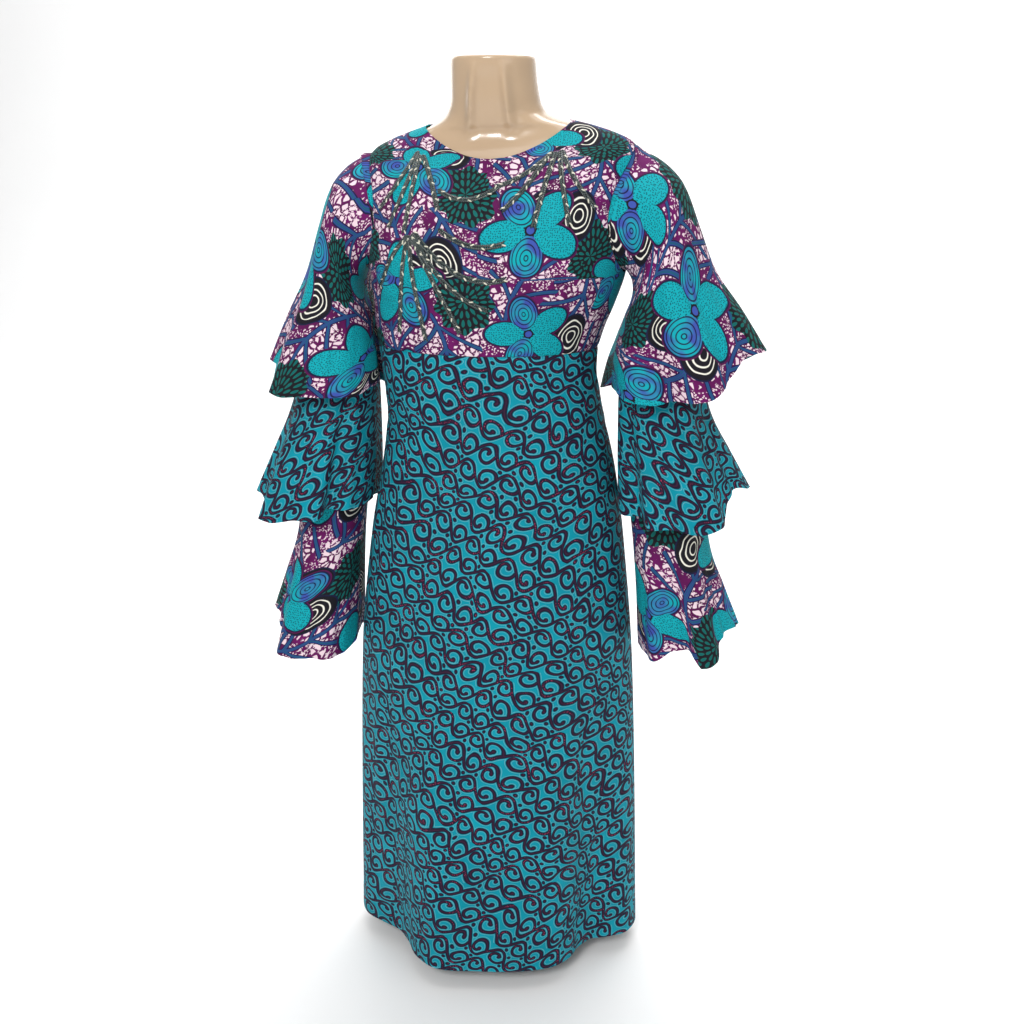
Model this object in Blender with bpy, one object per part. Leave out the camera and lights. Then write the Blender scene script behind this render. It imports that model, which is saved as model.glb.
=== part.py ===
"""Fitted dress with a high waist seam and three-tier bell sleeves, on a limbless dress form on a low stand.

Metres, +Z up. The dress faces -Y and the wearer's left is +X.
The origin is the centre of the stand's underside, on the surface that it stands on.
"""

import math

import bpy
import numpy as np

# Driving dimensions of the dress
WALL = 0.0015
SEAM_GAP = 0.0005
WAIST_Z = 0.854
HEM_Z = 0.030
NECK_FRONT_Z = 1.0745
NECK_BACK_Z = 1.101
NECK_SIDE_Z = 1.1155
NECK_HALF_WIDTH = 0.0895
ARMHOLE_TOP_Z = 1.087
SHOULDER_TILT = 0.030
UNDERARM_Z = 0.946
ARMHOLE_DEPTH_DEG = 31.0
ARMHOLE_RADIUS = 0.115
BODICE_COLUMNS = 7
SKIRT_COLUMNS = 10

# Bust of the general figure: two soft rises, broader in the cloth, which spans between them
BUST_X = 0.078
BUST_Z = 0.955
BUST_RISE = 0.020
BUST_SPREAD_Z = 0.046
FORM_BUST_SPREAD_X = 0.044
CLOTH_BUST_SPREAD_X = 0.056

# Zip in the centre back seam
ZIP_TOP_Z = ARMHOLE_TOP_Z
ZIP_BOTTOM_Z = 0.640
ZIP_HALF_WIDTH = 0.009
ZIP_THICKNESS = 0.0008
SLIDER_SIZE = (0.0070, 0.0026, 0.0090)
EAR_THICKNESS = 0.0009
KNUCKLE_RADIUS = 0.0011
KNUCKLE_HALF_LENGTH = 0.0014
PULL_LENGTH = 0.022
PULL_HALF_WIDTH = 0.0026
PULL_THICKNESS = 0.0012
PIVOT_GAP = 0.0003

# Stand
BASE_RADIUS = 0.090
BASE_THICKNESS = 0.008
POLE_RADIUS = 0.0125
FLANGE_RADIUS = 0.034
FLANGE_THICKNESS = 0.006
COLLAR_RADIUS = 0.020
COLLAR_HEIGHT = 0.022
FORM_BOTTOM_Z = 0.500
POLE_CENTRE_Y = 0.005
TOUCH_GAP = 0.0003

SECTION_COLUMNS = ("z", "half_width", "front", "back", "centre_y", "centre_x")
LOWER_FORM = (
    (0.500, 0.138, 0.086, 0.094, 0.006, 0.0),
    (0.540, 0.148, 0.091, 0.102, 0.006, 0.0),
    (0.590, 0.152, 0.094, 0.107, 0.006, 0.0),
    (0.650, 0.141, 0.092, 0.096, 0.006, 0.0),
    (0.700, 0.122, 0.086, 0.083, 0.006, 0.0),
    (0.745, 0.112, 0.081, 0.074, 0.006, -0.001),
    (0.800, 0.112, 0.083, 0.075, 0.006, -0.003),
    (0.854, 0.118, 0.089, 0.079, 0.006, -0.004),
    (0.900, 0.134, 0.097, 0.087, 0.006, -0.002),
)
LOWER_BODICE = (
    (0.854, 0.1325, 0.096, 0.084, 0.006, -0.0125),
    (0.880, 0.1375, 0.098, 0.086, 0.006, -0.0100),
    (0.910, 0.1445, 0.101, 0.090, 0.006, -0.0050),
)
UPPER_BODY = (
    (0.950, 0.152, 0.104, 0.094, 0.006, 0.0),
    (1.000, 0.157, 0.100, 0.096, 0.008, 0.0),
    (1.037, 0.162, 0.088, 0.092, 0.011, 0.001),
    (1.064, 0.165, 0.074, 0.082, 0.014, 0.003),
    (1.080, 0.162, 0.064, 0.072, 0.016, 0.004),
    (1.090, 0.154, 0.057, 0.064, 0.017, 0.004),
    (1.100, 0.134, 0.052, 0.058, 0.017, 0.004),
    (1.109, 0.108, 0.050, 0.055, 0.016, 0.004),
    (1.115, 0.087, 0.051, 0.054, 0.014, 0.003),
    (1.121, 0.071, 0.051, 0.053, 0.012, 0.001),
    (1.128, 0.060, 0.050, 0.051, 0.009, -0.001),
    (1.142, 0.0535, 0.049, 0.049, 0.004, -0.001),
    (1.166, 0.0510, 0.048, 0.048, -0.001, -0.002),
    (1.187, 0.0496, 0.048, 0.048, -0.005, -0.002),
    (1.190, 0.0475, 0.046, 0.046, -0.005, -0.002),
)
FORM_SECTIONS = np.array(LOWER_FORM + UPPER_BODY)
BODICE_SECTIONS = np.array(LOWER_BODICE + UPPER_BODY)

# Gap between the form and the inner face of the bodice: snug on the shoulders, which carry the dress
EASE_COLUMNS = ("z", "ease")
BODICE_EASE = np.array([
    (0.854, 0.0045),
    (0.900, 0.0050),
    (0.950, 0.0050),
    (1.010, 0.0040),
    (1.064, 0.0026),
    (1.087, 0.0017),
    (1.120, 0.0015),
])
BACK_EASE_EXTRA = 0.0016

SKIRT_SECTIONS = np.array([
    (0.025, 0.1940, 0.1345, 0.1300, 0.006, -0.004),
    (0.210, 0.1900, 0.1280, 0.1280, 0.006, -0.004),
    (0.440, 0.1815, 0.1200, 0.1270, 0.006, -0.004),
    (0.610, 0.1640, 0.1130, 0.1240, 0.006, -0.002),
    (0.700, 0.1490, 0.1070, 0.1080, 0.006, 0.000),
    (0.750, 0.1400, 0.1035, 0.0985, 0.006, -0.002),
    (0.790, 0.1350, 0.1015, 0.0935, 0.006, -0.006),
    (0.820, 0.1345, 0.1010, 0.0912, 0.006, -0.011),
    (0.854, 0.1370, 0.1005, 0.0901, 0.006, -0.0125),
])

# Soft upright folds of the skirt: how far the hem stands out from its oval. They are gone at the hip.
# Azimuth 0 is the wearer's left side and -90 the front.
SKIRT_FOLD_TOP_Z = 0.560
SKIRT_FOLD_COLUMNS = ("azimuth_deg", "rise")
SKIRT_FOLDS = np.array([
    (-180, 0.004),
    (-165, -0.004),
    (-150, -0.022),
    (-138, -0.030),
    (-128, -0.022),
    (-117, 0.000),
    (-106, 0.012),
    (-90, 0.002),
    (-72, -0.002),
    (-60, -0.006),
    (-50, -0.018),
    (-40, -0.036),
    (-30, -0.040),
    (-18, -0.024),
    (-6, -0.004),
    (12, 0.006),
    (34, -0.003),
    (56, 0.007),
    (76, -0.004),
    (92, 0.003),
    (112, -0.005),
    (134, 0.007),
    (158, -0.002),
    (180, 0.004),
])

# Sleeve sections. The outer line runs down from the shoulder, the inner line down from the underarm.
SLEEVE_COLUMNS = (
    "outer_x", "outer_z", "inner_x", "inner_z", "half_depth", "centre_y", "fold_share", "body_gap"
)
TIER_ONE = np.array([
    (0.1690, 1.0800, 0.1655, 0.9440, 0.0560, 0.010, 0.00, 0.0032),
    (0.1950, 1.0710, 0.1690, 0.9340, 0.0610, 0.009, 0.05, 0.0032),
    (0.2160, 1.0400, 0.1650, 0.9120, 0.0650, 0.006, 0.15, 0.0032),
    (0.2310, 0.9950, 0.1570, 0.8880, 0.0700, 0.002, 0.30, 0.0032),
    (0.2480, 0.9330, 0.1505, 0.8600, 0.0780, -0.002, 0.55, 0.0032),
    (0.2740, 0.8700, 0.1465, 0.8310, 0.0860, -0.006, 0.80, 0.0032),
    (0.3000, 0.8020, 0.1455, 0.7980, 0.0930, -0.010, 1.00, 0.0032),
])
TIER_TWO = np.array([
    (0.2440, 0.8600, 0.1532, 0.8600, 0.0520, -0.004, 0.00, 0.0062),
    (0.2640, 0.7740, 0.1540, 0.7780, 0.0650, -0.008, 0.40, 0.0062),
    (0.2880, 0.7120, 0.1560, 0.7180, 0.0770, -0.012, 0.75, 0.0050),
    (0.3140, 0.6500, 0.1600, 0.6500, 0.0870, -0.016, 1.00, 0.0030),
])
TIER_THREE = np.array([
    (0.2565, 0.7000, 0.1665, 0.7000, 0.0480, -0.010, 0.00, 0.0085),
    (0.2680, 0.6020, 0.1780, 0.6020, 0.0520, -0.012, 0.40, 0.0062),
    (0.2860, 0.5300, 0.1840, 0.5300, 0.0590, -0.014, 0.75, 0.0040),
    (0.3060, 0.4580, 0.1880, 0.4560, 0.0660, -0.016, 1.00, 0.0040),
])
SLEEVE_INNER = np.array([
    (0.1770, 1.0620, 0.1750, 0.9600, 0.0530, 0.010, 0.00, 0.0040),
    (0.1960, 1.0240, 0.1740, 0.9340, 0.0540, 0.007, 0.00, 0.0060),
    (0.2220, 0.9450, 0.1680, 0.8850, 0.0540, 0.002, 0.00, 0.0100),
    (0.2415, 0.8440, 0.1600, 0.8440, 0.0495, -0.004, 0.00, 0.0090),
    (0.2450, 0.7600, 0.1620, 0.7600, 0.0450, -0.008, 0.00, 0.0110),
    (0.2530, 0.6640, 0.1720, 0.6640, 0.0440, -0.010, 0.00, 0.0110),
])
INNER_COLUMNS_AROUND = 16

# How gradually a sleeve flattens where it comes near the body
CLAMP_SOFTNESS = 0.0015

# How far a lower flounce's first ring stands out from the inner sleeve that it is sewn to
FLOUNCE_SEAT = 0.0013

# How each sleeve piece hangs: out from the table's outer line, raised at its hem, and where it starts, which is
# the armhole or a share of the inner sleeve's length. The inner sleeve itself starts inside the top flounce.
SETTING_COLUMNS = ("spread", "raised", "start")
SETTINGS = {
    ("left", 1): (0.010, 0.018, "armhole"),
    ("right", 1): (-0.010, 0.010, "armhole"),
    ("left", 2): (0.002, 0.016, 0.55),
    ("right", 2): (0.000, 0.002, 0.55),
    ("left", 3): (0.005, 0.022, 0.89),
    ("right", 3): (-0.003, 0.010, 0.89),
}
INNER_SETTINGS = {"left": (0.0016, 0.0, None), "right": (-0.0070, 0.0, None)}

# How much less deep than the table each inner sleeve is: the right one lies in the narrower top flounce
INNER_SHALLOWER = {"left": 0.0, "right": 0.0006}

# Flounce folds at each hem. Angle 0 is the outer line, 90 the front, 180 against the body, 270 the back.
# reach scales the radius there, and drop moves the hem down.
FOLD_COLUMNS = ("angle_deg", "reach", "drop")
FOLDS = {
    ("left", 1): (
        (0, 1.25, -0.038), (22, 1.02, -0.034), (40, 0.98, -0.014), (62, 1.10, 0.006),
        (80, 1.00, 0.010), (93, 0.84, 0.010), (106, 1.08, 0.012), (128, 1.14, 0.010),
        (150, 1.04, 0.004), (180, 1.00, 0.004), (214, 1.46, 0.024), (245, 1.00, 0.016),
        (272, 1.10, 0.014), (300, 0.96, 0.006), (330, 1.12, -0.018),
    ),
    ("right", 1): (
        (0, 0.99, -0.014), (18, 0.96, -0.020), (33, 0.86, -0.018), (46, 1.06, 0.010),
        (66, 1.10, 0.012), (90, 1.00, 0.010), (112, 1.06, 0.010), (134, 1.10, 0.010),
        (155, 1.04, 0.004), (180, 1.00, 0.002), (214, 1.36, 0.020), (243, 0.96, 0.012),
        (270, 1.08, 0.010), (300, 0.94, 0.004), (332, 1.08, -0.006),
    ),
    ("left", 2): (
        (0, 1.04, -0.022), (16, 0.85, -0.026), (32, 0.84, -0.014), (48, 1.02, 0.008),
        (72, 1.10, 0.014), (96, 1.02, 0.010), (116, 1.10, 0.012), (132, 0.92, 0.004),
        (148, 1.08, 0.006), (180, 1.00, 0.000), (210, 1.14, 0.008), (238, 0.92, 0.006),
        (268, 1.12, 0.008), (298, 0.90, 0.000), (330, 1.06, -0.010),
    ),
    ("right", 2): (
        (0, 1.06, -0.006), (16, 0.98, -0.006), (30, 0.86, 0.002), (44, 1.08, 0.014),
        (66, 1.12, 0.014), (88, 1.00, 0.010), (106, 1.06, 0.010), (122, 0.86, 0.000),
        (140, 1.02, 0.002), (180, 1.00, 0.000), (212, 1.12, 0.006), (242, 0.90, 0.004),
        (272, 1.12, 0.008), (300, 0.92, 0.000), (330, 1.08, -0.004),
    ),
    ("left", 3): (
        (0, 1.05, -0.026), (18, 0.90, -0.026), (36, 0.88, -0.018), (52, 1.12, 0.002),
        (70, 1.10, 0.008), (86, 0.84, -0.012), (104, 0.94, -0.010), (124, 1.12, 0.004),
        (146, 1.02, 0.000), (180, 1.00, 0.000), (210, 1.12, 0.004), (240, 0.88, 0.000),
        (270, 1.14, 0.006), (300, 0.88, -0.004), (330, 1.08, -0.014),
    ),
    ("right", 3): (
        (0, 1.05, -0.026), (20, 0.88, -0.024), (38, 0.86, -0.004), (54, 1.14, 0.018),
        (76, 1.14, 0.020), (98, 1.02, 0.020), (118, 1.08, 0.022), (140, 1.04, 0.020),
        (160, 1.00, 0.016), (180, 1.00, 0.010), (210, 1.12, 0.004), (240, 0.88, 0.000),
        (270, 1.14, 0.006), (300, 0.88, 0.000), (330, 1.10, -0.010),
    ),
}


def smooth_table(table, at):
    """A table read between its rows, on a curve that never overshoots. The first column is the key."""
    keys, values = table[:, 0], table[:, 1:]
    at = np.clip(np.asarray(at, float), keys[0], keys[-1])
    steps = np.diff(keys)
    rates = np.diff(values, axis=0) / steps[:, None]
    slopes = np.zeros_like(values)
    slopes[0], slopes[-1] = rates[0], rates[-1]
    same_way = rates[:-1] * rates[1:] > 0
    mean = 2 * rates[:-1] * rates[1:] / np.where(same_way, rates[:-1] + rates[1:], 1)
    slopes[1:-1] = np.where(same_way, mean, 0)
    row = np.clip(np.searchsorted(keys, at, side="right") - 1, 0, len(keys) - 2)
    step = steps[row][..., None]
    share = ((at - keys[row]) / steps[row])[..., None]
    return (
        (2 * share**3 - 3 * share**2 + 1) * values[row]
        + (share**3 - 2 * share**2 + share) * step * slopes[row]
        + (3 * share**2 - 2 * share**3) * values[row + 1]
        + (share**3 - share**2) * step * slopes[row + 1]
    )


def oval(azimuth, sections, z):
    """A point of an oval section: azimuth 0 is the wearer's left side, -90 degrees the front."""
    half_width, front, back, centre_y, centre_x = np.moveaxis(smooth_table(sections, z), -1, 0)
    across, along = np.cos(azimuth), np.sin(azimuth)
    return centre_x + half_width * across, centre_y + np.where(along < 0, front, back) * along


def torso(azimuth, z, sections, bust_spread_x):
    """The general figure's surface, from the thighs to the top of the neck."""
    x, y = oval(azimuth, sections, z)
    facing = np.clip(-np.sin(azimuth) * 1.6, 0, 1)
    height = np.exp(-((z - BUST_Z) ** 2) / (2 * BUST_SPREAD_Z**2))
    sides = sum(np.exp(-((x - side * BUST_X) ** 2) / (2 * bust_spread_x**2)) for side in (-1, 1))
    seam_fade = np.clip((z - WAIST_Z) / 0.03, 0, 1)
    y = y - BUST_RISE * facing * height * sides * seam_fade
    tilted = np.clip((z - 0.96) / 0.10, 0, 1) * np.clip((1.145 - z) / 0.03, 0, 1)
    return np.stack([x, y, z + SHOULDER_TILT * x * tilted], axis=-1)


def unit(vectors):
    return vectors / np.linalg.norm(vectors, axis=-1, keepdims=True)


def surface_normals(surface, azimuth, z, small=1e-4):
    """Outward unit normals of surface(azimuth, z)."""
    around = surface(azimuth + small, z) - surface(azimuth - small, z)
    up = surface(azimuth, z + small) - surface(azimuth, z - small)
    return unit(np.cross(around, up))


def levelled(normals, z):
    """The normals turned level at the waist seam, so that bodice and skirt meet edge to edge."""
    share = np.clip(np.abs(z - WAIST_Z) / 0.02, 0, 1)[..., None]
    return unit(normals * np.concatenate([np.ones_like(share), np.ones_like(share), share], axis=-1))


def cloth_torso(azimuth, z):
    return torso(azimuth, z, BODICE_SECTIONS, CLOTH_BUST_SPREAD_X)


def bodice(azimuth, z, lift=0.0):
    """A point of the bodice, lift outside its inner face."""
    azimuth, z = np.broadcast_arrays(np.asarray(azimuth, float), np.asarray(z, float))
    ease = smooth_table(BODICE_EASE, z)[..., 0]
    behind = np.clip(np.sin(azimuth) * 2, 0, 1) * np.clip((1.104 - z) / 0.02, 0, 1)
    ease = ease + BACK_EASE_EXTRA * behind
    outward = levelled(surface_normals(cloth_torso, azimuth, z), z)
    return cloth_torso(azimuth, z) + outward * (ease + lift)[..., None]


def skirt_folds(azimuth, z):
    share = np.clip((SKIRT_FOLD_TOP_Z - z) / (SKIRT_FOLD_TOP_Z - HEM_Z), 0, 1) ** 1.2
    turned = (np.degrees(azimuth) + 180) % 360 - 180
    return smooth_table(SKIRT_FOLDS, turned)[..., 0] * share


def plain_skirt(azimuth, z):
    x, y = oval(azimuth, SKIRT_SECTIONS, z)
    return np.stack([x, y, z + 0 * x], axis=-1)


def skirt(azimuth, z, lift=0.0):
    """A point of the skirt, lift outside its inner face."""
    azimuth, z = np.broadcast_arrays(np.asarray(azimuth, float), np.asarray(z, float))
    rise = skirt_folds(azimuth, z) + lift
    return plain_skirt(azimuth, z) + levelled(surface_normals(plain_skirt, azimuth, z), z) * rise[..., None]


def body_side(y, z, side):
    """How far the dress reaches to this side at this depth and height, which the sleeves hang clear of."""
    low = smooth_table(SKIRT_SECTIONS, np.minimum(z, WAIST_Z))
    high = smooth_table(BODICE_SECTIONS, np.maximum(z, WAIST_Z)) + [0.005, 0.005, 0.005, 0, 0]
    section = np.where((z > WAIST_Z)[..., None], high, low)
    half_width, front, back, centre_y, centre_x = np.moveaxis(section, -1, 0)
    inside = np.clip(1 - ((y - centre_y) / np.where(y < centre_y, front, back)) ** 2, 0, 1)
    return (half_width + WALL) * np.sqrt(inside) + side * centre_x - 0.02 * (inside <= 0)


def soft_maximum(values, least):
    """The values, kept above least on a curve with no kink."""
    over = values - least
    return least + (over + np.sqrt(over**2 + CLAMP_SOFTNESS**2)) / 2


def clear_of_body(points, gap, side):
    """Points of a sleeve's inner face, moved out where they would come too near to the dress."""
    least_x = body_side(points[..., 1], points[..., 2], side) + gap + WALL
    return np.concatenate([soft_maximum(points[..., :1], least_x[..., None]), points[..., 1:]], axis=-1)


def armhole_loop(angle, side):
    """The top flounce's first ring, just inside the armhole: angle 0 is the shoulder, 90 the front."""
    shrink = 1.6 * SEAM_GAP + WALL * (0.5 - 0.5 * np.cos(angle))
    middle, half = (ARMHOLE_TOP_Z + UNDERARM_Z) / 2, (ARMHOLE_TOP_Z - UNDERARM_Z) / 2 - shrink
    azimuth = -(math.radians(ARMHOLE_DEPTH_DEG) - shrink / ARMHOLE_RADIUS) * np.sin(angle)
    azimuth = azimuth if side > 0 else np.pi - azimuth
    return bodice(azimuth, middle + half * np.cos(angle)) * [side, 1, 1]


def periodic_folds(folds, angle):
    """reach and drop of the hem at this angle, on a smooth closed curve through the rows."""
    rows = np.array(folds, float)
    rows = np.vstack([rows - [360, 0, 0], rows, rows + [360, 0, 0]])
    return np.moveaxis(smooth_table(rows, np.degrees(angle) % 360), -1, 0)


def fold_angles(folds):
    """Angles round a flounce: one on each fold of its table and one between each two."""
    if not folds:
        return np.linspace(0, 2 * math.pi, INNER_COLUMNS_AROUND, endpoint=False)
    keys = np.radians([fold[0] for fold in folds] + [360])
    return np.sort(np.concatenate([keys[:-1], (keys[:-1] + keys[1:]) / 2]))


def sleeve_points(table, spread, along, angle, reach, drop):
    """Points of a sleeve on the wearer's left, at these shares of its length and angles round it.

    spread moves the outer line, by one amount or row by row.
    """
    keys = np.linspace(0, 1, len(table))
    sections = smooth_table(np.column_stack([keys, table]), along)
    outer_x, outer_z, inner_x, inner_z, half_depth, centre_y, share, gap = sections.T[..., None]
    outer_x = outer_x + spread
    scale = 1 + (reach - 1) * share
    x = (outer_x + inner_x) / 2 + (outer_x - inner_x) / 2 * np.cos(angle) * scale
    y = centre_y - half_depth * np.sin(angle) * scale
    z = (outer_z + inner_z) / 2 + (outer_z - inner_z) / 2 * np.cos(angle) - drop * share**2
    return np.stack([x, y, z], axis=-1), gap


def inner_table(side_name):
    """The inner sleeve's sections on one side."""
    return SLEEVE_INNER - np.array([0, 0, 0, 0, INNER_SHALLOWER[side_name], 0, 0, 0])


def flounce_start(start, angle, side, side_name):
    """A flounce's first ring: round the armhole, or round the inner sleeve at a share of its length."""
    if start == "armhole":
        return armhole_loop(angle, side)
    spread = INNER_SETTINGS[side_name][0]
    table = inner_table(side_name)
    rings, gap = sleeve_points(table, spread, np.array([start]), angle, np.ones_like(angle), 0)
    ring = clear_of_body(rings, gap, side)[0]
    outward = unit((ring - ring.mean(axis=0)) * [1, 1, 0])
    return ring + outward * (WALL + FLOUNCE_SEAT)


def sleeve_grid(table, folds, setting, side_name, rows, lift=0.0):
    """Rows of points round a sleeve, from its top to its hem, with lift added outwards."""
    spread, raised, start = setting
    side = 1 if side_name == "left" else -1
    along = np.linspace(0, 1, rows) ** (1.25 if start == "armhole" else 1.0)
    angle = fold_angles(folds)
    reach, drop = periodic_folds(folds, angle) if folds else (np.ones_like(angle), np.zeros_like(angle))
    if start == "armhole":
        spread = spread * np.minimum(along * 6, 1)[:, None]
    points, gap = sleeve_points(table, spread, along, angle, reach, drop - raised)
    if start is not None:
        share = np.clip(along / 0.30, 0, 1)[:, None, None]
        share = share**2 * (3 - 2 * share)
        points = points * share + flounce_start(start, angle, side, side_name) * (1 - share)
    first = 1 if start == "armhole" else 0
    points[first:] = clear_of_body(points[first:], gap[first:], side)
    points = points + grid_normals(points) * lift
    points[..., 0] *= side
    return points if side > 0 else points[:, ::-1]


def grid_normals(points):
    """Outward unit normals of a closed grid: rows run down, columns from the outer line to the front."""
    down = np.gradient(points, axis=0)
    around = np.roll(points, -1, axis=1) - np.roll(points, 1, axis=1)
    return unit(np.cross(down, around))


def quads_of(rows, columns, closed):
    last = columns if closed else columns - 1
    return [
        (r * columns + c, (r + 1) * columns + c,
         (r + 1) * columns + (c + 1) % columns, r * columns + (c + 1) % columns)
        for r in range(rows - 1)
        for c in range(last)
    ]


def thickened(outer, inner, quads):
    """Points and faces of the closed wall between two like sheets. The outer sheet's quads face outwards.

    Each quad is split along its shorter diagonal, the same one on both sheets, so that the wall
    never crosses itself.
    """
    count = len(outer)
    used = {}
    for quad in quads:
        for a, b in zip(quad, quad[1:] + quad[:1]):
            used[(a, b)] = True
    rim = [(a, b) for a, b in used if (b, a) not in used]
    halves = []
    for a, b, c, d in quads:
        if np.linalg.norm(outer[a] - outer[c]) < np.linalg.norm(outer[b] - outer[d]):
            halves += [(a, b, c), (a, c, d)]
        else:
            halves += [(a, b, d), (b, c, d)]
    faces = list(halves)
    faces += [tuple(count + i for i in reversed(half)) for half in halves]
    faces += [(b, a, count + a, count + b) for a, b in rim]
    return np.vstack([outer, inner]), faces


def material(name, colour, roughness, metallic=0.0):
    made = bpy.data.materials.new(name)
    made.use_nodes = True
    shader = made.node_tree.nodes["Principled BSDF"]
    shader.inputs["Base Color"].default_value = (*colour, 1)
    shader.inputs["Roughness"].default_value = roughness
    shader.inputs["Metallic"].default_value = metallic
    return made


def add_object(name, points, faces, surface, smooth=True):
    mesh = bpy.data.meshes.new(name)
    mesh.from_pydata([tuple(map(float, p)) for p in points], [], faces)
    mesh.materials.append(surface)
    if smooth:
        mesh.shade_smooth()
        mesh.set_sharp_from_angle(angle=math.radians(50))
    made = bpy.data.objects.new(name, mesh)
    bpy.context.scene.collection.objects.link(made)
    return made


def seam_angle(z):
    """Half of the seam gap at the side, as an azimuth."""
    return SEAM_GAP / 2 / smooth_table(BODICE_SECTIONS, z)[..., 1]


def armhole_angle(z):
    """How far the armhole's edge lies round from the side line at this height."""
    middle, half = (ARMHOLE_TOP_Z + UNDERARM_Z) / 2, (ARMHOLE_TOP_Z - UNDERARM_Z) / 2
    inside = np.clip(1 - ((z - middle) / half) ** 2, 0, 1)
    return math.radians(ARMHOLE_DEPTH_DEG) * np.sqrt(inside)


def neckline_angle(z, lowest_z):
    """The neckline's azimuth from the side line at this height: 90 degrees at and below its lowest point."""
    share = np.clip((z - lowest_z) / (NECK_SIDE_Z - lowest_z), 0, 1)
    half_width = smooth_table(BODICE_SECTIONS, z)[..., 0]
    return np.arccos(np.clip(NECK_HALF_WIDTH * np.sqrt(share) / half_width, 0, 0.985))


def bodice_rows(lowest_z):
    """Heights of the bodice's rows, closer together where the armhole and the neckline turn."""
    middle, half = (ARMHOLE_TOP_Z + UNDERARM_Z) / 2, (ARMHOLE_TOP_Z - UNDERARM_Z) / 2
    low = np.linspace(WAIST_Z + SEAM_GAP / 2, UNDERARM_Z, 5)
    armhole = middle + half * np.sin(np.linspace(-np.pi / 2, np.pi / 2, 10))
    neck = lowest_z + (NECK_SIDE_Z - lowest_z) * np.sin(np.radians(np.arange(0, 90, 10))) ** 2
    kept = [lowest_z, UNDERARM_Z, ARMHOLE_TOP_Z, low[0], neck[-1]]
    for z in (*low, *armhole, *neck, *np.arange(ARMHOLE_TOP_Z, lowest_z, 0.0035)):
        if min(abs(z - other) for other in kept) > 0.0012:
            kept.append(z)
    return np.sort(kept)


def half_bodice(way, lowest_z, centre_gap):
    """Azimuth and height grids of a half panel on the wearer's left. way is -1 at the front, 1 at the back."""
    z = bodice_rows(lowest_z)
    to_side = np.maximum(seam_angle(z), armhole_angle(z))
    to_centre = neckline_angle(z, lowest_z)
    centre = np.pi / 2 - centre_gap / 2 / smooth_table(BODICE_SECTIONS, z)[..., 0]
    to_centre = np.minimum(to_centre, centre)
    share = np.linspace(0, 1, BODICE_COLUMNS + 1)
    azimuth = way * (to_centre[:, None] + (to_side - to_centre)[:, None] * share)
    return azimuth, np.repeat(z[:, None], BODICE_COLUMNS + 1, axis=1)


def skirt_rows():
    """Heights of the skirt's rows, closer together over the hip."""
    high = np.linspace(WAIST_Z - SEAM_GAP / 2, ZIP_BOTTOM_Z, 6)
    low = ZIP_BOTTOM_Z + (HEM_Z - ZIP_BOTTOM_Z) * np.linspace(0, 1, 7) ** 0.9
    return np.concatenate([high, low[1:]])


def half_skirt(way, centre_gap):
    z = skirt_rows()
    half_width = smooth_table(SKIRT_SECTIONS, z)[..., 0]
    centre = np.pi / 2 - centre_gap / 2 / half_width
    side = SEAM_GAP / 2 / half_width
    share = np.linspace(0, 1, SKIRT_COLUMNS + 1)
    azimuth = way * (centre[:, None] + (side - centre)[:, None] * share)
    return azimuth, np.repeat(z[:, None], SKIRT_COLUMNS + 1, axis=1)


def panel(name, surface, halves, finish):
    """One cloth panel from one or two half grids of azimuth and height, joined where they meet."""
    outer, inner, quads, start = [], [], [], 0
    for azimuth, z in halves:
        out, into = surface(azimuth, z, WALL), surface(azimuth, z)
        faces = quads_of(*azimuth.shape, False)
        facing = np.cross(out[1, 0] - out[0, 0], out[0, 1] - out[0, 0])
        if facing @ (out[0, 0] - into[0, 0]) < 0:
            faces = [tuple(reversed(face)) for face in faces]
        outer.append(out.reshape(-1, 3))
        inner.append(into.reshape(-1, 3))
        quads += [tuple(start + i for i in face) for face in faces]
        start += azimuth.size
    outer, inner = np.vstack(outer), np.vstack(inner)
    _, first, index = np.unique(np.round(outer, 6), axis=0, return_index=True, return_inverse=True)
    index = index.reshape(-1)
    quads = [tuple(int(index[i]) for i in quad) for quad in quads]
    points, faces = thickened(outer[first], inner[first], quads)
    return add_object(name, points, faces, finish)


def other_side(half):
    """The same half panel on the wearer's right."""
    return np.pi - half[0], half[1]


def sleeve_piece(name, table, folds, setting, side_name, rows, finish):
    outer = sleeve_grid(table, folds, setting, side_name, rows, WALL)
    inner = sleeve_grid(table, folds, setting, side_name, rows)
    quads = quads_of(rows, len(fold_angles(folds)), True)
    points, faces = thickened(outer.reshape(-1, 3), inner.reshape(-1, 3), quads)
    return add_object(name, points, faces, finish)


def form_body(finish):
    """The limbless form as one smooth closed solid, with a flat underside and a flat neck top."""
    z = np.concatenate([FORM_SECTIONS[:, 0], (FORM_SECTIONS[:-1, 0] + FORM_SECTIONS[1:, 0]) / 2])
    z = np.sort(z)
    around = 56
    azimuth = np.linspace(0, 2 * math.pi, around, endpoint=False)
    azimuth, heights = np.meshgrid(azimuth, z)
    points = torso(azimuth, heights, FORM_SECTIONS, FORM_BUST_SPREAD_X)
    quads = [tuple(reversed(face)) for face in quads_of(len(z), around, True)]
    quads.append(tuple(reversed(range(around))))
    quads.append(tuple((len(z) - 1) * around + i for i in range(around)))
    return add_object("form_body", points.reshape(-1, 3), quads, finish)


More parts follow.
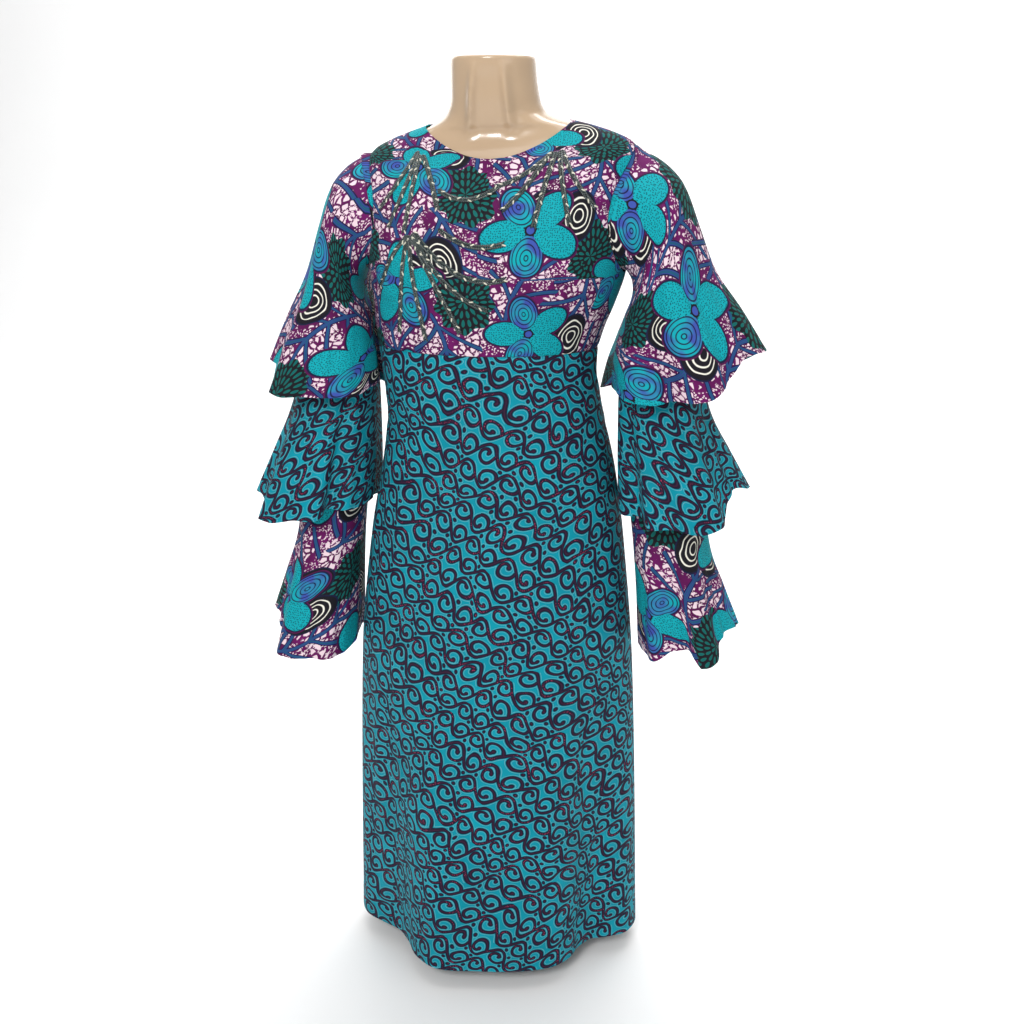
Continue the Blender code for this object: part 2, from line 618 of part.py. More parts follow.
def disc(name, radius, low_z, high_z, centre, finish, sides=40, bore=0.0, edge=0.0):
    """A turned piece with a vertical axis and a small chamfer outside. bore makes it a ring."""
    profile = [(radius - edge, high_z), (radius, high_z - edge), (radius, low_z)]
    if edge == 0:
        profile = [(radius, high_z), (radius, low_z)]
    inner = [(bore, low_z), (bore, high_z)] if bore else []
    rings = profile + inner
    angle = np.linspace(0, 2 * math.pi, sides, endpoint=False)
    points = [(centre[0] + r * math.cos(a), centre[1] + r * math.sin(a), z) for r, z in rings for a in angle]
    count = len(rings)
    faces = []
    for k in range(count if bore else count - 1):
        for i in range(sides):
            j, below = (i + 1) % sides, (k + 1) % count
            faces.append((k * sides + i, below * sides + i, below * sides + j, k * sides + j))
    if not bore:
        faces.append(tuple(range(sides)))
        faces.append(tuple(reversed([(count - 1) * sides + i for i in range(sides)])))
    return add_object(name, points, faces, finish)


def box_points(low, high):
    return [(x, y, z) for z in (low[2], high[2]) for y in (low[1], high[1]) for x in (low[0], high[0])]


BOX_FACES = [(0, 2, 3, 1), (4, 5, 7, 6), (0, 1, 5, 4), (2, 6, 7, 3), (0, 4, 6, 2), (1, 3, 7, 5)]


def back_surface(across, z, lift):
    """Points of the dress beside the centre back line, lift outside its inner face."""
    above = z > WAIST_Z
    high, low = smooth_table(BODICE_SECTIONS, z)[..., 0], smooth_table(SKIRT_SECTIONS, z)[..., 0]
    half_width = np.where(above, high, low)
    azimuth = np.arccos(across / half_width)
    return np.where(above[..., None], bodice(azimuth, z, lift), skirt(azimuth, z, lift))


def zip_tape(finish):
    """The closed zip chain on its tape, just inside the centre back seam."""
    rows = np.concatenate([skirt_rows(), bodice_rows(NECK_BACK_Z)])
    rows = np.sort(rows[(rows > ZIP_BOTTOM_Z - 1e-6) & (rows < ZIP_TOP_Z + 1e-6)])
    x, z = np.meshgrid(np.array([-1, -0.33, 0.33, 1]) * ZIP_HALF_WIDTH, rows)
    outer = back_surface(x, z, -TOUCH_GAP - 0.0006)
    inner = back_surface(x, z, -TOUCH_GAP - 0.0006 - ZIP_THICKNESS)
    quads = quads_of(*x.shape, False)
    points, faces = thickened(outer.reshape(-1, 3), inner.reshape(-1, 3), quads)
    return add_object("zip_tape", points, faces, finish)


def slider_axes():
    """Where the slider lies: a point on the cloth at its top, and the ways along x, out of it and up it."""
    z = np.array([ZIP_TOP_Z - SLIDER_SIZE[2], ZIP_TOP_Z])
    low, high = back_surface(np.zeros(2), z, WALL + 0.0008)
    up = unit(high - low)
    out = np.cross(up, [1, 0, 0])
    return high, np.array([[1, 0, 0], out, up])


def placed(points, axes):
    """Local points (x, out of the cloth, up the cloth) turned to the slope of the back."""
    return np.array(points, float) @ axes


PIVOT_OUT = SLIDER_SIZE[1] + KNUCKLE_RADIUS + 0.0002
PIVOT_UP = -0.0030


def zip_slider(finish):
    """The slider: a block over the seam with two ears that hold the pull's knuckle."""
    origin, axes = slider_axes()
    half_width, depth, height = SLIDER_SIZE[0] / 2, SLIDER_SIZE[1], SLIDER_SIZE[2]
    outline = [(-half_width * 0.75, -height), (half_width * 0.75, -height), (half_width, 0), (-half_width, 0)]
    block = [(x, y, z) for y in (0, depth) for x, z in outline]
    faces = [(0, 1, 2, 3), (7, 6, 5, 4)] + [(i, 4 + i, 4 + (i + 1) % 4, (i + 1) % 4) for i in range(4)]
    body = add_object("zip_slider", origin + placed(block, axes), faces, finish, smooth=False)
    ear_in = KNUCKLE_HALF_LENGTH + PIVOT_GAP
    for name, low_x in (("ear_left", ear_in), ("ear_right", -ear_in - EAR_THICKNESS)):
        low = (low_x, depth - 0.0006, PIVOT_UP - KNUCKLE_RADIUS)
        high = (low_x + EAR_THICKNESS, PIVOT_OUT + KNUCKLE_RADIUS, PIVOT_UP + KNUCKLE_RADIUS)
        ear = add_object(name, origin + placed(box_points(low, high), axes), BOX_FACES, finish, smooth=False)
        joined(body, ear)
    return body


def joined(body, other):
    """The other object is melted into the body and isn't a piece of its own."""
    other.hide_render = True
    other.display_type = "WIRE"
    join = body.modifiers.new(other.name, "BOOLEAN")
    join.operation = "UNION"
    join.object = other


def zip_pull(finish):
    """The pull tab hanging from its knuckle and lying down the back. Its origin is on the pivot."""
    origin, axes = slider_axes()
    pivot = origin + placed([(0, PIVOT_OUT, PIVOT_UP)], axes)[0]
    sides = 12
    knuckle = [
        (x, KNUCKLE_RADIUS * math.cos(a), KNUCKLE_RADIUS * math.sin(a))
        for x in (-KNUCKLE_HALF_LENGTH, KNUCKLE_HALF_LENGTH)
        for a in np.linspace(0, 2 * math.pi, sides, endpoint=False)
    ]
    faces = [(i, (i + 1) % sides, sides + (i + 1) % sides, sides + i) for i in range(sides)]
    faces = [tuple(reversed(face)) for face in faces]
    faces += [tuple(range(sides)), tuple(reversed(range(sides, 2 * sides)))]
    body = add_object("zip_pull", placed(knuckle, axes), faces, finish, smooth=False)
    left = [(0.50, -0.0004), (0.42, -0.0045), (0.60, -0.009)]
    left += [(1, 0.004 - PULL_LENGTH), (0.75, 0.001 - PULL_LENGTH)]
    outline = left + [(0, -PULL_LENGTH)] + [(-x, z) for x, z in reversed(left)]
    count = len(outline)
    depths = (0, PULL_THICKNESS)
    plate = [(x * PULL_HALF_WIDTH, y - PULL_THICKNESS / 2, z) for y in depths for x, z in outline]
    faces = [tuple(reversed(range(count))), tuple(range(count, 2 * count))]
    faces += [(i, (i + 1) % count, count + (i + 1) % count, count + i) for i in range(count)]
    plate = add_object("pull_plate", placed(plate, axes), faces, finish, smooth=False)
    joined(body, plate)
    body.location = pivot
    plate.location = pivot
    return body


def main():
    for old in list(bpy.data.objects):
        bpy.data.objects.remove(old)
    motif_print = material("motif_print_cotton", (0.150, 0.020, 0.110), 0.75)
    scroll_print = material("scroll_print_cotton", (0.012, 0.200, 0.260), 0.75)
    gloss_shell = material("form_shell", (0.560, 0.400, 0.230), 0.28)
    steel = material("stand_steel", (0.600, 0.600, 0.610), 0.30, 1.0)
    zip_cloth = material("zip_tape_cloth", (0.020, 0.030, 0.050), 0.60)
    zip_metal = material("zip_metal", (0.060, 0.065, 0.080), 0.35, 1.0)

    form_body(gloss_shell)
    centre = (0, POLE_CENTRE_Y)
    flange_low = FORM_BOTTOM_Z - TOUCH_GAP - FLANGE_THICKNESS
    disc("stand_base", BASE_RADIUS, 0, BASE_THICKNESS, (0, 0), steel, 48, edge=0.002)
    disc("stand_pole", POLE_RADIUS, BASE_THICKNESS + TOUCH_GAP, flange_low - TOUCH_GAP, centre, steel, 24)
    flange_high = flange_low + FLANGE_THICKNESS
    disc("stand_flange", FLANGE_RADIUS, flange_low, flange_high, centre, steel, 32, edge=0.001)
    collar_low = BASE_THICKNESS + TOUCH_GAP
    bore = POLE_RADIUS + TOUCH_GAP + 0.0001
    disc("stand_collar", COLLAR_RADIUS, collar_low, collar_low + COLLAR_HEIGHT, centre, steel, 32, bore=bore)

    pieces = (
        ("bodice", bodice, half_bodice(-1, NECK_FRONT_Z, 0.0), half_bodice(1, NECK_BACK_Z, SEAM_GAP), motif_print),
        ("skirt", skirt, half_skirt(-1, 0.0), half_skirt(1, SEAM_GAP), scroll_print),
    )
    for name, surface, front, back, finish in pieces:
        panel(f"{name}_front", surface, [front, other_side(front)], finish)
        panel(f"{name}_back_left", surface, [back], finish)
        panel(f"{name}_back_right", surface, [other_side(back)], finish)

    tiers = ((1, TIER_ONE, 7, motif_print), (2, TIER_TWO, 5, scroll_print), (3, TIER_THREE, 5, motif_print))
    for side in ("left", "right"):
        for tier, table, rows, finish in tiers:
            name, folds, setting = f"sleeve_{side}_tier_{tier}", FOLDS[side, tier], SETTINGS[side, tier]
            sleeve_piece(name, table, folds, setting, side, rows, finish)
        table, setting = inner_table(side), INNER_SETTINGS[side]
        sleeve_piece(f"sleeve_{side}_inner", table, None, setting, side, 7, scroll_print)

    zip_tape(zip_cloth)
    zip_slider(zip_metal)
    zip_pull(zip_metal)


main()
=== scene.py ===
"""Looks of the fitted dress with three-tier bell sleeves on its dress form.

Metres, +Z up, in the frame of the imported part. Each cloth piece is a thin shell on the same sections as
the part's panel, sampled finely, with its creases, seams, hems and print added.
"""

import math

import bpy
import numpy as np
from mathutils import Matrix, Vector


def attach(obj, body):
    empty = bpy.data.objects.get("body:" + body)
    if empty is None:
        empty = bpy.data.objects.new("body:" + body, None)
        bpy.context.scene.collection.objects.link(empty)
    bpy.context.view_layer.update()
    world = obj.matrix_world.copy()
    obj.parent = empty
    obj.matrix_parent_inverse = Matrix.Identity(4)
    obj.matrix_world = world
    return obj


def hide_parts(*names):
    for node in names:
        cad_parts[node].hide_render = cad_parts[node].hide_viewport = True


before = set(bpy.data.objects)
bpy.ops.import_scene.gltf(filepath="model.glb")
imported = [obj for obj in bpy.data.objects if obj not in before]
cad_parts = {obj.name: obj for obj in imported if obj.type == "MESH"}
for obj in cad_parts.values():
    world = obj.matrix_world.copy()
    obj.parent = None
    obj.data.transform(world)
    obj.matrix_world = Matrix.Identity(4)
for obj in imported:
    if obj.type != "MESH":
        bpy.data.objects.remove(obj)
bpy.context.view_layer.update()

# Driving dimensions of the dress
WALL = 0.0015
SEAM_GAP = 0.0005
WAIST_Z = 0.854
HEM_Z = 0.030
NECK_FRONT_Z = 1.0745
NECK_BACK_Z = 1.101
NECK_SIDE_Z = 1.1155
NECK_HALF_WIDTH = 0.0895
ARMHOLE_TOP_Z = 1.087
SHOULDER_TILT = 0.030
UNDERARM_Z = 0.946
ARMHOLE_DEPTH_DEG = 31.0
ARMHOLE_RADIUS = 0.115
ARMHOLE_MIDDLE_Z = (ARMHOLE_TOP_Z + UNDERARM_Z) / 2
ARMHOLE_HALF_HEIGHT = (ARMHOLE_TOP_Z - UNDERARM_Z) / 2

# The shoulders tilt between these heights, fading in over one distance and out over the other
TILT_LOW_Z = 0.96
TILT_HIGH_Z = 1.145
TILT_FADE_IN = 0.10
TILT_FADE_OUT = 0.03

# Heights over which the bust, the level seam edge and the extra ease behind fade out
BUST_FADE = 0.03
LEVEL_FADE = 0.02
BACK_EASE_TOP_Z = 1.104

# Bust of the general figure: two soft rises, broader in the cloth, which spans between them
BUST_X = 0.078
BUST_Z = 0.955
BUST_RISE = 0.020
BUST_SPREAD_Z = 0.046
FORM_BUST_SPREAD_X = 0.044
CLOTH_BUST_SPREAD_X = 0.056

# Oval sections: height, half width, depth in front, depth behind, centre y and centre x
LOWER_FORM = (
    (0.500, 0.138, 0.086, 0.094, 0.006, 0.0),
    (0.540, 0.148, 0.091, 0.102, 0.006, 0.0),
    (0.590, 0.152, 0.094, 0.107, 0.006, 0.0),
    (0.650, 0.141, 0.092, 0.096, 0.006, 0.0),
    (0.700, 0.122, 0.086, 0.083, 0.006, 0.0),
    (0.745, 0.112, 0.081, 0.074, 0.006, -0.001),
    (0.800, 0.112, 0.083, 0.075, 0.006, -0.003),
    (0.854, 0.118, 0.089, 0.079, 0.006, -0.004),
    (0.900, 0.134, 0.097, 0.087, 0.006, -0.002),
)
LOWER_BODICE = (
    (0.854, 0.1325, 0.096, 0.084, 0.006, -0.0125),
    (0.880, 0.1375, 0.098, 0.086, 0.006, -0.0100),
    (0.910, 0.1445, 0.101, 0.090, 0.006, -0.0050),
)
UPPER_BODY = (
    (0.950, 0.152, 0.104, 0.094, 0.006, 0.0),
    (1.000, 0.157, 0.100, 0.096, 0.008, 0.0),
    (1.037, 0.162, 0.088, 0.092, 0.011, 0.001),
    (1.064, 0.165, 0.074, 0.082, 0.014, 0.003),
    (1.080, 0.162, 0.064, 0.072, 0.016, 0.004),
    (1.090, 0.154, 0.057, 0.064, 0.017, 0.004),
    (1.100, 0.134, 0.052, 0.058, 0.017, 0.004),
    (1.109, 0.108, 0.050, 0.055, 0.016, 0.004),
    (1.115, 0.087, 0.051, 0.054, 0.014, 0.003),
    (1.121, 0.071, 0.051, 0.053, 0.012, 0.001),
    (1.128, 0.060, 0.050, 0.051, 0.009, -0.001),
    (1.142, 0.0535, 0.049, 0.049, 0.004, -0.001),
    (1.166, 0.0510, 0.048, 0.048, -0.001, -0.002),
    (1.187, 0.0496, 0.048, 0.048, -0.005, -0.002),
    (1.190, 0.0475, 0.046, 0.046, -0.005, -0.002),
)
FORM_SECTIONS = np.array(LOWER_FORM + UPPER_BODY)
BODICE_SECTIONS = np.array(LOWER_BODICE + UPPER_BODY)

# Gap between the form and the inner face of the bodice at each height: snug on the shoulders
BODICE_EASE = np.array([
    (0.854, 0.0045),
    (0.900, 0.0050),
    (0.950, 0.0050),
    (1.010, 0.0040),
    (1.064, 0.0026),
    (1.087, 0.0017),
    (1.120, 0.0015),
])
BACK_EASE_EXTRA = 0.0016

SKIRT_SECTIONS = np.array([
    (0.025, 0.1940, 0.1345, 0.1300, 0.006, -0.004),
    (0.210, 0.1900, 0.1280, 0.1280, 0.006, -0.004),
    (0.440, 0.1815, 0.1200, 0.1270, 0.006, -0.004),
    (0.610, 0.1640, 0.1130, 0.1240, 0.006, -0.002),
    (0.700, 0.1490, 0.1070, 0.1080, 0.006, 0.000),
    (0.750, 0.1400, 0.1035, 0.0985, 0.006, -0.002),
    (0.790, 0.1350, 0.1015, 0.0935, 0.006, -0.006),
    (0.820, 0.1345, 0.1010, 0.0912, 0.006, -0.011),
    (0.854, 0.1370, 0.1005, 0.0901, 0.006, -0.0125),
])

# Soft upright folds of the skirt: how far the hem stands out from its oval. They are gone at the hip.
# Each row is an azimuth in degrees, 0 at the wearer's left side and -90 at the front, and the rise there.
SKIRT_FOLD_TOP_Z = 0.560
SKIRT_FOLDS = np.array([
    (-180, 0.004), (-165, -0.004), (-150, -0.022), (-138, -0.030), (-128, -0.022),
    (-117, 0.000), (-106, 0.012), (-90, 0.002), (-72, -0.002), (-60, -0.006),
    (-50, -0.018), (-40, -0.036), (-30, -0.040), (-18, -0.024), (-6, -0.004),
    (12, 0.006), (34, -0.003), (56, 0.007), (76, -0.004), (92, 0.003),
    (112, -0.005), (134, 0.007), (158, -0.002), (180, 0.004),
])

# Sleeve sections. The outer line runs down from the shoulder, the inner line down from the underarm.
# Each row is outer x and z, inner x and z, half depth, centre y, share of the folds and gap to the body.
TIER_ONE = np.array([
    (0.1690, 1.0800, 0.1655, 0.9440, 0.0560, 0.010, 0.00, 0.0032),
    (0.1950, 1.0710, 0.1690, 0.9340, 0.0610, 0.009, 0.05, 0.0032),
    (0.2160, 1.0400, 0.1650, 0.9120, 0.0650, 0.006, 0.15, 0.0032),
    (0.2310, 0.9950, 0.1570, 0.8880, 0.0700, 0.002, 0.30, 0.0032),
    (0.2480, 0.9330, 0.1505, 0.8600, 0.0780, -0.002, 0.55, 0.0032),
    (0.2740, 0.8700, 0.1465, 0.8310, 0.0860, -0.006, 0.80, 0.0032),
    (0.3000, 0.8020, 0.1455, 0.7980, 0.0930, -0.010, 1.00, 0.0032),
])
TIER_TWO = np.array([
    (0.2440, 0.8600, 0.1532, 0.8600, 0.0520, -0.004, 0.00, 0.0062),
    (0.2640, 0.7740, 0.1540, 0.7780, 0.0650, -0.008, 0.40, 0.0062),
    (0.2880, 0.7120, 0.1560, 0.7180, 0.0770, -0.012, 0.75, 0.0050),
    (0.3140, 0.6500, 0.1600, 0.6500, 0.0870, -0.016, 1.00, 0.0030),
])
TIER_THREE = np.array([
    (0.2565, 0.7000, 0.1665, 0.7000, 0.0480, -0.010, 0.00, 0.0085),
    (0.2680, 0.6020, 0.1780, 0.6020, 0.0520, -0.012, 0.40, 0.0062),
    (0.2860, 0.5300, 0.1840, 0.5300, 0.0590, -0.014, 0.75, 0.0040),
    (0.3060, 0.4580, 0.1880, 0.4560, 0.0660, -0.016, 1.00, 0.0040),
])
SLEEVE_INNER = np.array([
    (0.1770, 1.0620, 0.1750, 0.9600, 0.0530, 0.010, 0.00, 0.0040),
    (0.1960, 1.0240, 0.1740, 0.9340, 0.0540, 0.007, 0.00, 0.0060),
    (0.2220, 0.9450, 0.1680, 0.8850, 0.0540, 0.002, 0.00, 0.0100),
    (0.2415, 0.8440, 0.1600, 0.8440, 0.0495, -0.004, 0.00, 0.0090),
    (0.2450, 0.7600, 0.1620, 0.7600, 0.0450, -0.008, 0.00, 0.0110),
    (0.2530, 0.6640, 0.1720, 0.6640, 0.0440, -0.010, 0.00, 0.0110),
])

# How gradually a sleeve flattens where it comes near the body
CLAMP_SOFTNESS = 0.0015

# How far a lower flounce's first ring stands out from the inner sleeve that it is sewn to
FLOUNCE_SEAT = 0.0013

# How each sleeve piece hangs: out from the table's outer line, raised at its hem, and where it starts, at
# the armhole or a share of the inner sleeve's length. The inner sleeve starts inside the top flounce.
SETTINGS = {
    ("left", 1): (0.010, 0.018, "armhole"),
    ("right", 1): (-0.010, 0.010, "armhole"),
    ("left", 2): (0.002, 0.016, 0.55),
    ("right", 2): (0.000, 0.002, 0.55),
    ("left", 3): (0.005, 0.022, 0.89),
    ("right", 3): (-0.003, 0.010, 0.89),
}
INNER_SETTINGS = {"left": (0.0016, 0.0, None), "right": (-0.0070, 0.0, None)}

# How much less deep than the table each inner sleeve is: the right one lies in the narrower top flounce
INNER_SHALLOWER = {"left": 0.0, "right": 0.0006}

# Flounce folds at each hem, as angle, reach and drop. Angle 0 is the outer line, 90 the front, 180 against
# the body and 270 the back. reach scales the radius there, and drop moves the hem down.
FOLDS = {
    ("left", 1): (
        (0, 1.25, -0.038), (22, 1.02, -0.034), (40, 0.98, -0.014), (62, 1.10, 0.006),
        (80, 1.00, 0.010), (93, 0.84, 0.010), (106, 1.08, 0.012), (128, 1.14, 0.010),
        (150, 1.04, 0.004), (180, 1.00, 0.004), (214, 1.46, 0.024), (245, 1.00, 0.016),
        (272, 1.10, 0.014), (300, 0.96, 0.006), (330, 1.12, -0.018),
    ),
    ("right", 1): (
        (0, 0.99, -0.014), (18, 0.96, -0.020), (33, 0.86, -0.018), (46, 1.06, 0.010),
        (66, 1.10, 0.012), (90, 1.00, 0.010), (112, 1.06, 0.010), (134, 1.10, 0.010),
        (155, 1.04, 0.004), (180, 1.00, 0.002), (214, 1.36, 0.020), (243, 0.96, 0.012),
        (270, 1.08, 0.010), (300, 0.94, 0.004), (332, 1.08, -0.006),
    ),
    ("left", 2): (
        (0, 1.04, -0.022), (16, 0.85, -0.026), (32, 0.84, -0.014), (48, 1.02, 0.008),
        (72, 1.10, 0.014), (96, 1.02, 0.010), (116, 1.10, 0.012), (132, 0.92, 0.004),
        (148, 1.08, 0.006), (180, 1.00, 0.000), (210, 1.14, 0.008), (238, 0.92, 0.006),
        (268, 1.12, 0.008), (298, 0.90, 0.000), (330, 1.06, -0.010),
    ),
    ("right", 2): (
        (0, 1.06, -0.006), (16, 0.98, -0.006), (30, 0.86, 0.002), (44, 1.08, 0.014),
        (66, 1.12, 0.014), (88, 1.00, 0.010), (106, 1.06, 0.010), (122, 0.86, 0.000),
        (140, 1.02, 0.002), (180, 1.00, 0.000), (212, 1.12, 0.006), (242, 0.90, 0.004),
        (272, 1.12, 0.008), (300, 0.92, 0.000), (330, 1.08, -0.004),
    ),
    ("left", 3): (
        (0, 1.05, -0.026), (18, 0.90, -0.026), (36, 0.88, -0.018), (52, 1.12, 0.002),
        (70, 1.10, 0.008), (86, 0.84, -0.012), (104, 0.94, -0.010), (124, 1.12, 0.004),
        (146, 1.02, 0.000), (180, 1.00, 0.000), (210, 1.12, 0.004), (240, 0.88, 0.000),
        (270, 1.14, 0.006), (300, 0.88, -0.004), (330, 1.08, -0.014),
    ),
    ("right", 3): (
        (0, 1.05, -0.026), (20, 0.88, -0.024), (38, 0.86, -0.004), (54, 1.14, 0.018),
        (76, 1.14, 0.020), (98, 1.02, 0.020), (118, 1.08, 0.022), (140, 1.04, 0.020),
        (160, 1.00, 0.016), (180, 1.00, 0.010), (210, 1.12, 0.004), (240, 0.88, 0.000),
        (270, 1.14, 0.006), (300, 0.88, 0.000), (330, 1.10, -0.010),
    ),
}


def share_of(values):
    """The values, kept from 0 to 1."""
    return np.clip(values, 0, 1)


def steps(points, axis=0):
    """Distances between neighbouring points down a grid, or along its rows."""
    return np.linalg.norm(np.diff(points, axis=axis), axis=-1)


def run_of(lengths):
    """The distance covered at each point, from 0."""
    return np.concatenate([[0], np.cumsum(lengths)])


def smooth_table(table, at):
    """A table read between its rows, on a curve that never overshoots. The first column is the key."""
    keys, values = table[:, 0], table[:, 1:]
    at = np.clip(np.asarray(at, float), keys[0], keys[-1])
    gaps = np.diff(keys)
    rates = np.diff(values, axis=0) / gaps[:, None]
    slopes = np.zeros_like(values)
    slopes[0], slopes[-1] = rates[0], rates[-1]
    same_way = rates[:-1] * rates[1:] > 0
    mean = 2 * rates[:-1] * rates[1:] / np.where(same_way, rates[:-1] + rates[1:], 1)
    slopes[1:-1] = np.where(same_way, mean, 0)
    row = np.clip(np.searchsorted(keys, at, side="right") - 1, 0, len(keys) - 2)
    step = gaps[row][..., None]
    share = ((at - keys[row]) / gaps[row])[..., None]
    return (
        (2 * share**3 - 3 * share**2 + 1) * values[row]
        + (share**3 - 2 * share**2 + share) * step * slopes[row]
        + (3 * share**2 - 2 * share**3) * values[row + 1]
        + (share**3 - share**2) * step * slopes[row + 1]
    )


def oval(azimuth, sections, z):
    """A point of an oval section: azimuth 0 is the wearer's left side, -90 degrees the front."""
    half_width, front, back, centre_y, centre_x = np.moveaxis(smooth_table(sections, z), -1, 0)
    across, along = np.cos(azimuth), np.sin(azimuth)
    return centre_x + half_width * across, centre_y + np.where(along < 0, front, back) * along


def torso(azimuth, z, sections, bust_spread_x):
    """The general figure's surface, from the thighs to the top of the neck."""
    x, y = oval(azimuth, sections, z)
    facing = share_of(-np.sin(azimuth) * 1.6)
    height = np.exp(-((z - BUST_Z) ** 2) / (2 * BUST_SPREAD_Z**2))
    sides = sum(np.exp(-((x - side * BUST_X) ** 2) / (2 * bust_spread_x**2)) for side in (-1, 1))
    seam_fade = share_of((z - WAIST_Z) / BUST_FADE)
    y = y - BUST_RISE * facing * height * sides * seam_fade
    tilted = share_of((z - TILT_LOW_Z) / TILT_FADE_IN) * share_of((TILT_HIGH_Z - z) / TILT_FADE_OUT)
    return np.stack([x, y, z + SHOULDER_TILT * x * tilted], axis=-1)


def unit(vectors):
    return vectors / np.linalg.norm(vectors, axis=-1, keepdims=True)


def surface_normals(surface, azimuth, z, small=1e-4):
    """Outward unit normals of surface(azimuth, z)."""
    around = surface(azimuth + small, z) - surface(azimuth - small, z)
    up = surface(azimuth, z + small) - surface(azimuth, z - small)
    return unit(np.cross(around, up))


def levelled(normals, z):
    """The normals turned level at the waist seam, so that bodice and skirt meet edge to edge."""
    share = share_of(np.abs(z - WAIST_Z) / LEVEL_FADE)[..., None]
    level = np.ones_like(share)
    return unit(normals * np.concatenate([level, level, share], axis=-1))


def cloth_torso(azimuth, z):
    return torso(azimuth, z, BODICE_SECTIONS, CLOTH_BUST_SPREAD_X)


def bodice(azimuth, z, lift=0.0):
    """A point of the bodice, lift outside its inner face."""
    azimuth, z = np.broadcast_arrays(np.asarray(azimuth, float), np.asarray(z, float))
    ease = smooth_table(BODICE_EASE, z)[..., 0]
    behind = share_of(np.sin(azimuth) * 2) * share_of((BACK_EASE_TOP_Z - z) / LEVEL_FADE)
    ease = ease + BACK_EASE_EXTRA * behind
    outward = levelled(surface_normals(cloth_torso, azimuth, z), z)
    return cloth_torso(azimuth, z) + outward * (ease + lift)[..., None]


def skirt_folds(azimuth, z):
    share = share_of((SKIRT_FOLD_TOP_Z - z) / (SKIRT_FOLD_TOP_Z - HEM_Z)) ** 1.2
    turned = (np.degrees(azimuth) + 180) % 360 - 180
    return smooth_table(SKIRT_FOLDS, turned)[..., 0] * share


def plain_skirt(azimuth, z):
    x, y = oval(azimuth, SKIRT_SECTIONS, z)
    return np.stack([x, y, z + 0 * x], axis=-1)


def skirt(azimuth, z, lift=0.0):
    """A point of the skirt, lift outside its inner face."""
    azimuth, z = np.broadcast_arrays(np.asarray(azimuth, float), np.asarray(z, float))
    rise = skirt_folds(azimuth, z) + lift
    return plain_skirt(azimuth, z) + levelled(surface_normals(plain_skirt, azimuth, z), z) * rise[..., None]


def body_side(y, z, side):
    """How far the dress reaches to this side at this depth and height, which the sleeves hang clear of."""
    low = smooth_table(SKIRT_SECTIONS, np.minimum(z, WAIST_Z))
    high = smooth_table(BODICE_SECTIONS, np.maximum(z, WAIST_Z)) + [0.005, 0.005, 0.005, 0, 0]
    section = np.where((z > WAIST_Z)[..., None], high, low)
    half_width, front, back, centre_y, centre_x = np.moveaxis(section, -1, 0)
    inside = share_of(1 - ((y - centre_y) / np.where(y < centre_y, front, back)) ** 2)
    return (half_width + WALL) * np.sqrt(inside) + side * centre_x - 0.02 * (inside <= 0)


def soft_maximum(values, least):
    """The values, kept above least on a curve with no kink."""
    over = values - least
    return least + (over + np.sqrt(over**2 + CLAMP_SOFTNESS**2)) / 2


def clear_of_body(points, gap, side):
    """Points of a sleeve's inner face, moved out where they would come too near to the dress."""
    least_x = body_side(points[..., 1], points[..., 2], side) + gap + WALL
    return np.concatenate([soft_maximum(points[..., :1], least_x[..., None]), points[..., 1:]], axis=-1)


def armhole_loop(angle, side):
    """The top flounce's first ring, just inside the armhole: angle 0 is the shoulder, 90 the front."""
    shrink = 1.6 * SEAM_GAP + WALL * (0.5 - 0.5 * np.cos(angle))
    half = ARMHOLE_HALF_HEIGHT - shrink
    azimuth = -(math.radians(ARMHOLE_DEPTH_DEG) - shrink / ARMHOLE_RADIUS) * np.sin(angle)
    azimuth = azimuth if side > 0 else np.pi - azimuth
    return bodice(azimuth, ARMHOLE_MIDDLE_Z + half * np.cos(angle)) * [side, 1, 1]


def periodic_folds(folds, angle):
    """reach and drop of the hem at this angle, on a smooth closed curve through the rows."""
    rows = np.array(folds, float)
    rows = np.vstack([rows - [360, 0, 0], rows, rows + [360, 0, 0]])
    return np.moveaxis(smooth_table(rows, np.degrees(angle) % 360), -1, 0)


def sleeve_points(table, spread, along, angle, reach, drop):
    """Points of a sleeve on the wearer's left, at these shares of its length and angles round it.

    spread moves the outer line, by one amount or row by row.
    """
    keys = np.linspace(0, 1, len(table))
    sections = smooth_table(np.column_stack([keys, table]), along)
    outer_x, outer_z, inner_x, inner_z, half_depth, centre_y, share, gap = sections.T[..., None]
    outer_x = outer_x + spread
    scale = 1 + (reach - 1) * share
    x = (outer_x + inner_x) / 2 + (outer_x - inner_x) / 2 * np.cos(angle) * scale
    y = centre_y - half_depth * np.sin(angle) * scale
    z = (outer_z + inner_z) / 2 + (outer_z - inner_z) / 2 * np.cos(angle) - drop * share**2
    return np.stack([x, y, z], axis=-1), gap


def inner_table(side_name):
    """The inner sleeve's sections on one side."""
    return SLEEVE_INNER - np.array([0, 0, 0, 0, INNER_SHALLOWER[side_name], 0, 0, 0])


def flounce_start(start, angle, side, side_name):
    """A flounce's first ring: round the armhole, or round the inner sleeve at a share of its length."""
    if start == "armhole":
        return armhole_loop(angle, side)
    spread = INNER_SETTINGS[side_name][0]
    table = inner_table(side_name)
    rings, gap = sleeve_points(table, spread, np.array([start]), angle, np.ones_like(angle), 0)
    ring = clear_of_body(rings, gap, side)[0]
    outward = unit((ring - ring.mean(axis=0)) * [1, 1, 0])
    return ring + outward * (WALL + FLOUNCE_SEAT)


def grid_normals(points):
    """Outward unit normals of a closed grid: rows run down, columns from the outer line to the front."""
    down = np.gradient(points, axis=0)
    around = np.roll(points, -1, axis=1) - np.roll(points, 1, axis=1)
    return unit(np.cross(down, around))


